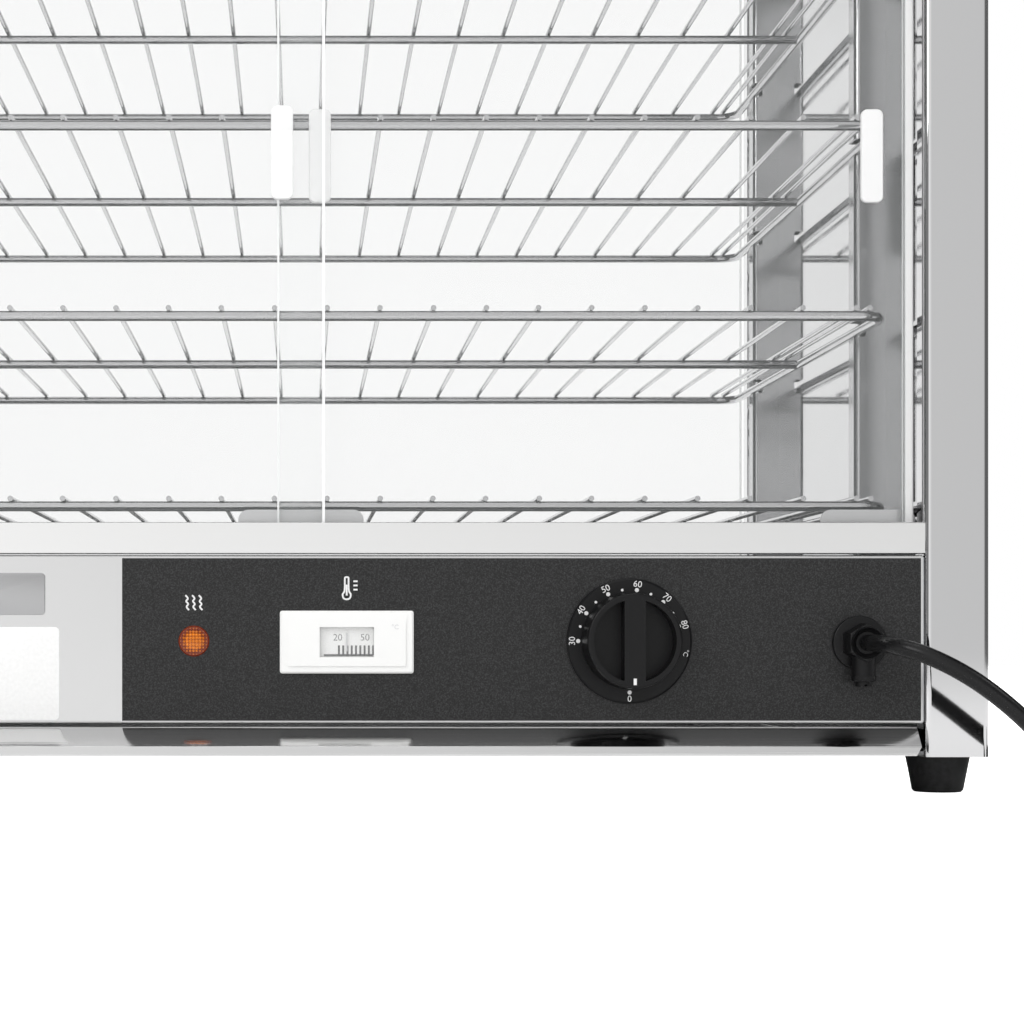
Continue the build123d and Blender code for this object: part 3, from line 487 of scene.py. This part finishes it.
cord_curve = bpy.data.curves.new("power_cord_sheath", "CURVE")
cord_curve.dimensions = "3D"
cord_curve.resolution_u = 6
cord_curve.bevel_depth = cord_radius
cord_curve.bevel_resolution = 5
cord_curve.use_fill_caps = True
line = cord_curve.splines.new("NURBS")
line.points.add(len(route) - 1)
for point, where in zip(line.points, route):
    point.co = (*where, 1)
line.order_u = 3
line.use_endpoint_u = True
cord = place_piece("power_cord_sheath", cord_curve, cord_rubber, "cabinet", "cord_rubber",
                   "power_cord", "cord_coil")
print("cord", len(route), "points")


# %% [markdown]
# ## Wire racks
# Each rack is a closed frame of thick chromed wire, one thick wire across the middle and thin rods
# welded on top. The wires could be swept as meshes one by one. As a curve with a round bevel, every
# wire is one spline, and a spline's point radius makes the rods thinner than the frame. The CAD
# rods are eight sided, so this replaces them. Each rod is a little askew and a little short, as
# rods are that were laid in a jig by hand.

# %% Racks
thick = 5.0 * mm
thin = 2.8 * mm
rod_pitch = 26.0 * mm
rods_each_side = 11
edge_rod_inset = 7.5 * mm
weld_depth = 0.15 * mm
corner = 12.0 * mm
circle_handle = 0.5523  # a Bezier handle of this share of the radius bends like a circle
rod_askew = 0.25
rod_shortfall = 0.7
rack_numbers = range(1, 6)


def straight_wire(curve, start, end, radius_factor):
    spline = curve.splines.new("POLY")
    spline.points.add(1)
    for point, where in zip(spline.points, (start, end)):
        point.co = (*where, 1)
        point.radius = radius_factor


def rounded_loop(curve, low, high, height, bend):
    """Closed frame: eight Bezier points, two for each corner, whose handles make round bends."""
    spline = curve.splines.new("BEZIER")
    spline.bezier_points.add(7)
    spline.use_cyclic_u = True
    handle = bend * circle_handle
    ways = [Vector((1, 0)), Vector((0, 1)), Vector((-1, 0)), Vector((0, -1))]
    corners = [Vector((high.x, low.y)), Vector((high.x, high.y)),
               Vector((low.x, high.y)), Vector((low.x, low.y))]
    for number, (spot, way) in enumerate(zip(corners, ways)):
        leaving = ways[(number + 1) % 4]
        first = spline.bezier_points[2 * number]
        second = spline.bezier_points[2 * number + 1]
        enter = spot - way * bend
        leave = spot + leaving * bend
        first.co = (*enter, height)
        first.handle_left = (*(enter - way * handle), height)
        first.handle_right = (*(enter + way * handle), height)
        second.co = (*leave, height)
        second.handle_left = (*(leave - leaving * handle), height)
        second.handle_right = (*(leave + leaving * handle), height)


for number in rack_numbers:
    node = f"wire_rack_{number}"
    low, high = low_of(node), high_of(node)
    level = low.z + thick / 2
    rod_level = level + (thick + thin) / 2 - weld_depth
    curve = bpy.data.curves.new(node + "_wires", "CURVE")
    curve.dimensions = "3D"
    curve.resolution_u = 6
    curve.bevel_depth = thick / 2
    curve.bevel_resolution = 4
    curve.use_fill_caps = True
    inset = Vector((thick / 2, thick / 2))
    rounded_loop(curve, low.xy + inset, high.xy - inset, level, corner)
    across = (low.y + high.y) / 2
    cross_start = (low.x + thick / 2, across, level)
    cross_end = (high.x - thick / 2, across, level)
    straight_wire(curve, cross_start, cross_end, 1.0)
    places = [rod_pitch * (k + 0.5) for k in range(rods_each_side)]
    places.append(high.x - thick / 2 - edge_rod_inset)
    for x in places:
        for hand in (-1, 1):
            askew = random.uniform(-rod_askew, rod_askew) * mm
            short = [random.uniform(0.0, rod_shortfall) * mm for _ in range(2)]
            start = (hand * x + askew, low.y + short[0], rod_level)
            end = (hand * x - askew, high.y - short[1], rod_level)
            straight_wire(curve, start, end, thin / thick)
    place_piece(node + "_wires", curve, chrome_wire, f"rack_{number}", "chrome_wire", node)
print("racks", len(rack_numbers), "with", 2 * len(places), "rods each")


# %% [markdown]
# ## Lettering
# The dial and the scale carry printed numbers. A picture could show them, but text made into a
# mesh stays sharp at any distance. It lies a hair proud of the face that it is printed on. The mesh
# is stood upright, turned about the dial's axis and moved to its place, so its object needs no
# turning.

# %% Print a word or number
capital_share = 0.7  # share of a font's size that its numbers are high
ink_thickness = 0.02 * mm


def printed(name, text, height, where, turn=0.0, material=white_print, slot_name="white_plastic"):
    curve = bpy.data.curves.new(name, "FONT")
    curve.body = text
    curve.size = height / capital_share
    curve.align_x = "CENTER"
    curve.align_y = "CENTER"
    curve.extrude = ink_thickness
    curve.resolution_u = 4
    mesh = mesh_of_curve(curve, name)
    upright = Matrix.Rotation(math.pi / 2, 4, "X")
    mesh.transform(Matrix.Translation(where) @ Matrix.Rotation(turn, 4, "Y") @ upright)
    place_piece(name, mesh, material, "cabinet", slot_name)


# %% [markdown]
# ## Dial numbers
# On the real dial the scale is printed on a fixed ring round the knob. It runs clockwise from 0 at
# the bottom. 30 stands at nine o'clock and each ten degrees take about an eleventh of a turn, with
# a large dot at each number and a small one between. The dots could be text too, but flat discs of
# one mesh are lighter.

# %% Dial print
number_ring = 27.4 * mm
dot_ring = 24.6 * mm
number_height = 3.0 * mm
degrees_per_ten = 32.7
first_number_at = 90.0
unit_at = 282.0
unit_share = 0.75
print_lift = 0.03 * mm


def on_dial(degrees, ring):
    """Place on the dial's face, counted clockwise from the bottom."""
    angle = math.radians(degrees)
    x = dial.x - ring * math.sin(angle)
    z = dial.z - ring * math.cos(angle)
    return Vector((x, dial_front - print_lift, z))


for k in range(6):
    shown = 30 + 10 * k
    degrees = first_number_at + degrees_per_ten * k
    printed(f"dial_number_{shown}", str(shown), number_height, on_dial(degrees, number_ring),
            math.radians(degrees - 180))
printed("dial_number_0", "0", number_height, on_dial(0, number_ring), math.pi)
printed("dial_unit", "°C", number_height * unit_share, on_dial(unit_at, number_ring),
        math.radians(unit_at - 180))

dots = bmesh.new()
dot_sides = 14
dot_depth = 0.04 * mm
large_dot = 1.0 * mm
small_dot = 0.65 * mm
dot_places = [(0.0, large_dot)]
for k in range(12):
    radius = large_dot if k % 2 == 0 else small_dot
    dot_places.append((first_number_at + degrees_per_ten / 2 * k, radius))
for degrees, radius in dot_places:
    place = Matrix.Translation(on_dial(degrees, dot_ring)) @ Matrix.Rotation(math.pi / 2, 4, "X")
    bmesh.ops.create_cone(dots, cap_ends=True, segments=dot_sides, radius1=radius, radius2=radius,
                          depth=dot_depth, matrix=place)
place_piece("dial_dots", mesh_from(dots, "dial_dots"), white_print, "cabinet", "white_plastic")


# %% [markdown]
# ## Knob
# The CAD knob is right in shape. Its pointer is a white line let into the end of the finger bar. It
# could be painted by the knob's material, but as a small eased block of its own it stays sharp, and
# it rides on the knob so that it turns with it.

# %% Knob pointer
knob_radius = (high_of("thermostat_knob").x - low_of("thermostat_knob").x) / 2
line_length = 3.1 * mm
line_width = 1.5 * mm
line_depth = 0.3 * mm
line_sunk = 0.1 * mm
line_ease = 0.06 * mm
line_inset = 2.2 * mm
line_middle = dial.z - knob_radius + line_inset + line_length / 2
pointer = bmesh.new()
bmesh.ops.create_cube(pointer, size=1)
bmesh.ops.scale(pointer, vec=(line_width, line_depth, line_length), verts=pointer.verts)
bmesh.ops.translate(pointer, vec=(dial.x, knob_front + line_sunk, line_middle), verts=pointer.verts)
bmesh.ops.bevel(pointer, geom=pointer.edges, offset=line_ease, affect="EDGES", segments=1,
                profile=0.5, material=-1)
place_piece("knob_pointer", mesh_from(pointer, "knob_pointer"), white_print, "knob",
            "white_plastic")


# %% [markdown]
# ## Pilot lamp
# The amber lens has a grid of small pyramids that scatter the lamp's light. A bump in the material
# could feign them, but the photo is close enough to show real ones: a grid of faces is cut to a
# disc, each face is poked up to a point, and a plain disc under it closes the edge.

# %% Pilot lens
lens_radius = 7.4 * mm
facet_cells = 11
grid_reach = 0.98 * lens_radius
facets_end = 0.82 * lens_radius
facet_height = 0.45 * mm
dome_height = 0.7 * mm
rim_height = 0.7 * mm
rim_taper = 0.93
lens = bmesh.new()
bmesh.ops.create_grid(lens, x_segments=facet_cells, y_segments=facet_cells, size=grid_reach)
outside = [f for f in lens.faces if f.calc_center_median().length > facets_end]
bmesh.ops.delete(lens, geom=outside, context="FACES")
bmesh.ops.poke(lens, faces=lens.faces, offset=facet_height)
for vert in lens.verts:
    vert.co.z += dome_height * (1 - (vert.co.xy.length / lens_radius) ** 2) + rim_height / 2
rim = bmesh.ops.create_cone(lens, cap_ends=True, segments=48, radius1=lens_radius,
                            radius2=lens_radius * rim_taper, depth=rim_height)
bmesh.ops.translate(lens, vec=(0, 0, rim_height / 2), verts=rim["verts"])
lens.transform(Matrix.Translation((pilot.x, near, pilot.z)) @ Matrix.Rotation(math.pi / 2, 4, "X"))
place_piece("pilot_lens_faceted", mesh_from(lens, "pilot_lens_faceted"), amber, "cabinet",
            "amber_lens", "pilot_lens")


# %% [markdown]
# ## Cord gland
# The gland is a moulded nut on a round flange, with a boss below for its clamping screw. It could
# be one turned profile with the nut cut from it. Separate discs and a six-sided prism are simpler,
# as the real one is moulded in such steps. The prism's flats face left and right, which the CAD
# gland has wrong, so this replaces it. The mouth that grips the cord is made by insetting the front
# face of a collar and pushing it in.

# %% Gland
screw_drop = 19.6 * mm
flange_radius = (high_of("cord_gland").x - low_of("cord_gland").x) / 2
flange_thickness = 2.6 * mm
flange_ease = 0.8 * mm
nut_start, nut_end = 2.0 * mm, 15.5 * mm
nut_radius, nut_end_radius = 9.4 * mm, 9.2 * mm
ease = 0.7 * mm
collar_start, collar_end = 15.0 * mm, 17.8 * mm
collar_radius, collar_end_radius = 7.7 * mm, 7.2 * mm
mouth_wall = 2.2 * mm
mouth_depth = 2.5 * mm
face_tolerance = 0.05 * mm
boss_forward = 8.6 * mm
boss_end, boss_radius = 16.4 * mm, 5.6 * mm
head_start, head_end = 15.6 * mm, 18.4 * mm
head_radius, head_end_radius = 6.0 * mm, 5.8 * mm
gland_x = middle_of("cord_gland").x
gland_z = middle_of("gland_screw").z + screw_drop
to_front = Matrix.Translation((gland_x, near, gland_z)) @ Matrix.Rotation(math.pi / 2, 4, "X")


def disc(bm, matrix, start, end, start_radius, end_radius, sides=48, edge=0.0):
    """Solid disc or prism along the matrix's Z, with its far rim eased."""
    place = matrix @ Matrix.Translation((0, 0, (start + end) / 2))
    made = bmesh.ops.create_cone(bm, cap_ends=True, segments=sides, radius1=start_radius,
                                 radius2=end_radius, depth=end - start, matrix=place)
    rim = set()
    inverse = place.inverted()
    for vert in made["verts"]:
        if (inverse @ vert.co).z > 0:
            rim.update(e for e in vert.link_edges if (inverse @ e.other_vert(vert).co).z > 0)
    if edge:
        bmesh.ops.bevel(bm, geom=list(rim), offset=edge, affect="EDGES", segments=3, profile=0.5,
                        material=-1)


gland = bmesh.new()
disc(gland, to_front, 0.0, flange_thickness, flange_radius, flange_radius, 64, flange_ease)
disc(gland, to_front, nut_start, nut_end, nut_radius, nut_end_radius, 6, ease)
disc(gland, to_front, collar_start, collar_end, collar_radius, collar_end_radius)
mouth = [f for f in gland.faces
         if abs(f.calc_center_median().y - (near - collar_end)) < face_tolerance]
bmesh.ops.inset_region(gland, faces=mouth, thickness=mouth_wall, depth=0.0)
mouth_verts = list({v for f in mouth for v in f.verts})
bmesh.ops.translate(gland, vec=(0, mouth_depth, 0), verts=mouth_verts)
downwards = Matrix.Rotation(math.pi, 4, "X")
boss = Matrix.Translation((gland_x, near - boss_forward, gland_z)) @ downwards
disc(gland, boss, 0.0, boss_end, boss_radius, boss_radius, 40)
disc(gland, boss, head_start, head_end, head_radius, head_end_radius, 40, ease)
place_piece("cord_gland_moulded", mesh_from(gland, "cord_gland_moulded", 35), black_plastic,
            "cabinet", "black_plastic", "cord_gland")
print("gland at", round(gland_x, 4), round(gland_z, 4))


# %% [markdown]
# ## Thermometer print
# The thermometer's paper scale, behind its window, has two numbers and a row of bars on a
# baseline, and its frame has a small unit. All of it could be one picture. Thin blocks and text
# keep it sharp, and there are few enough of them. Measures are in millimetres from the middle.

# %% Thermometer scale
scale_front = low_of("thermometer_scale").y - print_lift
frame_front = low_of("thermometer_bezel").y - print_lift
scale_numbers = (("20", -4.3), ("50", 8.75))
number_rise = 2.1
scale_number_height = 3.2
unit_place = (23.1, 7.1)
unit_height = 2.2
for text, x in scale_numbers:
    place = Vector((meter.x + x * mm, scale_front, meter.z + number_rise * mm))
    printed(f"scale_number_{text}", text, scale_number_height * mm, place, material=grey_ink,
            slot_name="black_plastic")
unit_spot = Vector((meter.x + unit_place[0] * mm, frame_front, meter.z + unit_place[1] * mm))
printed("meter_unit", "°C", unit_height * mm, unit_spot, material=pale_mark)

bar_count = 9
bar_pitch = 2.05
bar_width = 0.95
bar_depth = 0.04
first_bar = -4.2
bar_low, bar_high = -6.2, -1.6
baseline = (-11.0, 12.6, -6.8, -5.8)


def scale_bar(bm, left, right, low, high):
    made = bmesh.ops.create_cube(bm, size=1)
    size = ((right - left) * mm, bar_depth * mm, (high - low) * mm)
    bmesh.ops.scale(bm, vec=size, verts=made["verts"])
    middle = (meter.x + (left + right) / 2 * mm, scale_front, meter.z + (low + high) / 2 * mm)
    bmesh.ops.translate(bm, vec=middle, verts=made["verts"])


bars = bmesh.new()
for k in range(bar_count):
    left = first_bar + bar_pitch * k
    scale_bar(bars, left, left + bar_width, bar_low, bar_high)
scale_bar(bars, *baseline)
place_piece("scale_bars", mesh_from(bars, "scale_bars"), dark_ink, "cabinet", "black_plastic")


# %% [markdown]
# ## Signs on the panel
# The real panel has printed words over the lamp and the thermometer. Plain signs stand in their
# place: three rising waves for heat, and an outline of a thermometer. They could be cut from a flat
# sheet, but a curve with a round bevel, pressed flat against the film, gets round line ends for
# nothing. Measures are in millimetres.

# %% Heat and thermometer signs
sign_line_radius = 0.48 * mm
sign_flatness = 0.1
sign_lift = 0.02 * mm


def sign_line(curve, points, closed):
    spline = curve.splines.new("NURBS")
    spline.points.add(len(points) - 1)
    for point, (x, z) in zip(spline.points, points):
        point.co = (x * mm, near - sign_lift, z * mm, 1)
    spline.order_u = 3
    spline.use_endpoint_u = not closed
    spline.use_cyclic_u = closed


def sign(name, lines):
    curve = bpy.data.curves.new(name, "CURVE")
    curve.dimensions = "3D"
    curve.resolution_u = 5
    curve.bevel_depth = sign_line_radius
    curve.bevel_resolution = 1
    for points, closed in lines:
        sign_line(curve, points, closed)
    mesh = mesh_of_curve(curve, name)
    to_panel = Matrix.Translation((0, near, 0))
    press = Matrix.Scale(sign_flatness, 4, (0, 1, 0))
    mesh.transform(to_panel @ press @ to_panel.inverted())
    place_piece(name, mesh, white_print, "cabinet", "white_plastic")


wave_sway = 0.9
wave_rise = 1.4
wave_spacing = 3.2
wave_points = 6
waves_x = pilot.x / mm
waves_low = 88.5
heat_lines = []
for k in (-1, 0, 1):
    wave_x = waves_x + wave_spacing * k
    line_points = [(wave_x + wave_sway * (-1) ** row, waves_low + wave_rise * row)
                   for row in range(wave_points)]
    heat_lines.append((line_points, False))
sign("heat_sign", heat_lines)

stem_x = meter.x / mm
stem_low = 94.6
outline = ((-0.9, 2.6), (-0.9, 8.5), (-0.9, 9.6), (0.9, 9.6), (0.9, 8.5), (0.9, 2.6),
           (2.1, 1.6), (1.7, -0.6), (0, -1.2), (-1.7, -0.6), (-2.1, 1.6))
column = ((0, 0.8), (0, 6.0))
tick_left, tick_right = 3.2, 5.2
tick_low, tick_step = 3.6, 2


def at_stem(points):
    return [(stem_x + x, stem_low + z) for x, z in points]


stem_lines = [(at_stem(outline), True), (at_stem(column), False)]
for k in range(3):
    tick_z = tick_low + tick_step * k
    stem_lines.append((at_stem(((tick_left, tick_z), (tick_right, tick_z))), False))
sign("thermometer_sign", stem_lines)


# %% [markdown]
# ## Plates
# Two plates sit on the bare steel beside the film: a small metal badge with rounded corners, and a
# white label below it. Both are left blank. A rounded rectangle could be extruded, but a cube
# scaled to size needs only two bevels: one rounds its four short edges, and one eases its front.
# Measures are in millimetres.

# %% Blank plates
plate_corner = 2.0
front_share = 0.9  # share of the thickness beyond which an edge belongs to the front
ease_share = 0.3
badge_edges = (-182.0, -122.6, 86.1, 106.2)
badge_thickness = 0.9
label_edges = (-206.0, -115.9, 35.8, 80.3)
label_thickness = 0.15
panel_face = low_of("control_panel").y


def plate(name, edges, thickness, material, slot_name):
    left, right, low, high = edges
    bm = bmesh.new()
    bmesh.ops.create_cube(bm, size=1)
    size = ((right - left) * mm, thickness * mm, (high - low) * mm)
    bmesh.ops.scale(bm, vec=size, verts=bm.verts)
    middle = ((left + right) / 2 * mm, panel_face - thickness / 2 * mm, (low + high) / 2 * mm)
    bmesh.ops.translate(bm, vec=middle, verts=bm.verts)
    short = [e for e in bm.edges if abs(e.verts[0].co.y - e.verts[1].co.y) > thickness * mm / 2]
    bmesh.ops.bevel(bm, geom=short, offset=plate_corner * mm, affect="EDGES", segments=6,
                    profile=0.5, material=-1)
    front_from = panel_face - thickness * mm * front_share
    front = [e for e in bm.edges if all(v.co.y < front_from for v in e.verts)]
    bmesh.ops.bevel(bm, geom=front, offset=thickness * ease_share * mm, affect="EDGES", segments=2,
                    profile=0.5, material=-1)
    place_piece(name, mesh_from(bm, name, 30), material, "cabinet", slot_name)


plate("badge_plate", badge_edges, badge_thickness, steel_badge, "bright_steel")
plate("label_plate", label_edges, label_thickness, paper_white, "white_plastic")


# %% [markdown]
# ## Tray front
# The tray's front has a finger strip, bent from the tray's own sheet, that slopes out and down and
# ends in a small upright lip. Its slope mirrors the panel above, which is why it looks dark. A box
# with bevels could stand for it. Three rows of two points give two faces that are then thickened,
# which bends like sheet and lets each row end at its own place, cut back towards the lip.

# %% Finger strip of the crumb tray
strip_sheet = 0.8 * mm
strip_reach = 13.2 * mm
tray_end = high_of("crumb_tray").x
strip_top = 32.3 * mm
strip_fold = 23.5 * mm
strip_low = 19.2 * mm
fold_cut = 1.3 * mm
lip_cut = 3.6 * mm
strip_sunk = 0.05 * mm
fold_radius = 0.4 * mm
tray_face = low_of("crumb_tray").y
strip_ends = (tray_end, tray_end - fold_cut, tray_end - lip_cut)
section = ((tray_face - strip_sunk, strip_top), (tray_face - strip_reach, strip_fold),
           (tray_face - strip_reach, strip_low))
strip = bmesh.new()
rows = []
for end, (y, z) in zip(strip_ends, section):
    rows.append([strip.verts.new((-end, y, z)), strip.verts.new((end, y, z))])
for upper, lower in zip(rows, rows[1:]):
    strip.faces.new((upper[0], lower[0], lower[1], upper[1]))
bmesh.ops.recalc_face_normals(strip, faces=strip.faces)
bmesh.ops.solidify(strip, geom=strip.faces[:], thickness=strip_sheet)
level_within = 0.1 * mm
near_fold = 1.5 * mm
bent_more_than = 0.5
folds = [e for e in strip.edges
         if abs(e.verts[0].co.z - e.verts[1].co.z) < level_within
         and e.calc_face_angle(0) > bent_more_than
         and abs(e.verts[0].co.z - strip_fold) < near_fold]
bmesh.ops.bevel(strip, geom=folds, offset=fold_radius, affect="EDGES", segments=3, profile=0.5,
                material=-1)
place_piece("tray_finger_strip", mesh_from(strip, "tray_finger_strip", 35), steel_tray, "tray",
            "brushed_steel")


# %% [markdown]
# ## Ground glass edges
# Where the doors overlap, each one's upright edge is ground to a narrow flat that glows white. The
# glass's own edge could glow by its material, but seen square on it has no width. A thin strip
# along the edge, on the face that looks at the operator, shows as the ground flat does.

# %% Edges of the doors
edge_thickness = 0.16 * mm
edge_lift = 0.1 * mm
edge_gap = 1.0 * mm


def edge_line(name, door, side_of_door, width):
    low, high = low_of(door + "_glass"), high_of(door + "_glass")
    x = low.x if side_of_door < 0 else high.x
    bm = bmesh.new()
    bmesh.ops.create_cube(bm, size=1)
    length = high.z - low.z - 2 * edge_gap
    bmesh.ops.scale(bm, vec=(width, edge_thickness, length), verts=bm.verts)
    inward = -side_of_door * width / 2
    middle = (x + inward, low.y - edge_lift, (low.z + high.z) / 2)
    bmesh.ops.translate(bm, vec=middle, verts=bm.verts)
    place_piece(name, mesh_from(bm, name), ground_edge, door, "glass")


edge_line("left_door_ground_edge", "left_door", 1, 1.3 * mm)
edge_line("right_door_ground_edge", "right_door", -1, 1.0 * mm)


# %% [markdown]
# ## Floor
# The floor is a plain pale sheet, as a photographer's table is. It glows for the camera alone, so
# that it looks as white as the studio behind it and lights nothing.

# %% Floor
floor_mesh = bpy.data.meshes.new("floor")
floor_reach = 6
floor_bm = bmesh.new()
bmesh.ops.create_grid(floor_bm, x_segments=1, y_segments=1, size=floor_reach)
floor_bm.to_mesh(floor_mesh)
floor_bm.free()
floor = bpy.data.objects.new("floor", floor_mesh)
bpy.context.collection.objects.link(floor)
floor_white = finish("floor_white", (0.93, 0.93, 0.93), 0.9)
shader_socket(floor_white, "Specular IOR Level").default_value = 0.0
shader_socket(floor_white, "Emission Color").default_value = (1, 1, 1, 1)
light_path = add_node(floor_white, "ShaderNodeLightPath")
glow = shader_socket(floor_white, "Emission Strength")
join(floor_white, light_path.outputs["Is Camera Ray"], glow)
floor_mesh.materials.append(floor_white)


# %% [markdown]
# ## Studio
# The photo was taken in a white studio. The world is plain white to the camera, through glass and
# for soft light. What shines sees a shaped studio instead, bright ahead, behind and overhead and
# dark at the sides and high up behind, so that wires and mirrors have something to reflect.
# A picture of a studio could be used, but a few ranges of the direction are easy to move.

# %% World
world = bpy.data.worlds.new("studio")
bpy.context.scene.world = world
world.use_nodes = True
nodes, links = world.node_tree.nodes, world.node_tree.links
studio = nodes["Background"]
white = nodes.new("ShaderNodeBackground")
white.inputs["Color"].default_value = (1, 1, 1, 1)
paths = nodes.new("ShaderNodeLightPath")
mix = nodes.new("ShaderNodeMixShader")
links.new(studio.outputs["Background"], mix.inputs[1])
links.new(white.outputs["Background"], mix.inputs[2])
links.new(mix.outputs["Shader"], nodes["World Output"].inputs["Surface"])

studio.inputs["Color"].default_value = (1, 1, 1, 1)
direction = nodes.new("ShaderNodeTexCoord")
axes = nodes.new("ShaderNodeSeparateXYZ")
links.new(direction.outputs["Generated"], axes.inputs["Vector"])


def world_range(output, from_low, from_high, to_low, to_high):
    level = nodes.new("ShaderNodeMapRange")
    level.interpolation_type = "SMOOTHSTEP"
    level.inputs["From Min"].default_value = from_low
    level.inputs["From Max"].default_value = from_high
    level.inputs["To Min"].default_value = to_low
    level.inputs["To Max"].default_value = to_high
    links.new(output, level.inputs["Value"])
    return level.outputs["Result"]


def world_math(operation, *values):
    step = nodes.new("ShaderNodeMath")
    step.operation = operation
    for value, socket in zip(values, step.inputs):
        links.new(value, socket)
    return step.outputs["Value"]


seen = world_math("MAXIMUM", paths.outputs["Is Camera Ray"], paths.outputs["Is Transmission Ray"])
plain = world_math("MAXIMUM", seen, paths.outputs["Is Diffuse Ray"])
links.new(plain, mix.inputs["Fac"])
sideways = world_math("ABSOLUTE", axes.outputs["X"])
dark_sides = world_range(sideways, 0.42, 0.72, 1.0, 0.22)
dark_upper = world_range(axes.outputs["Z"], 0.24, 0.42, 1.0, 0.1)
in_front = world_range(axes.outputs["Y"], -0.4, 0.0, 1.0, 0.0)
upper = world_math("MAXIMUM", dark_upper, in_front)
bright_above = world_range(axes.outputs["Z"], 0.86, 0.97, 0.0, 0.9)
walls = world_math("MAXIMUM", world_math("MULTIPLY", dark_sides, upper), bright_above)
left_to_right = world_range(axes.outputs["X"], -0.5, 0.5, 1.16, 0.74)
links.new(world_math("MULTIPLY", walls, left_to_right), studio.inputs["Strength"])


# %% [markdown]
# ## Lamps
# Three large square lamps stand left, right and above. Small ones would throw hard shadows, which
# the photo doesn't show.

# %% Lamps
def soft_lamp(name, where, aim, size, power):
    lamp_data = bpy.data.lights.new(name, "AREA")
    lamp_data.shape = "SQUARE"
    lamp_data.size = size
    lamp_data.energy = power
    lamp = bpy.data.objects.new(name, lamp_data)
    lamp.location = where
    lamp.rotation_euler = (Vector(aim) - Vector(where)).to_track_quat("-Z", "Y").to_euler()
    bpy.context.collection.objects.link(lamp)


soft_lamp("lamp_left", (-1.5, -1.7, 1.3), (0, 0, 0.2), 0.9, 14)
soft_lamp("lamp_right", (2.2, -0.6, 1.4), (0.2, 0, 0.2), 0.9, 6)
soft_lamp("lamp_top", (0, 0.2, 2.4), (0, 0, 0.3), 1.4, 9)
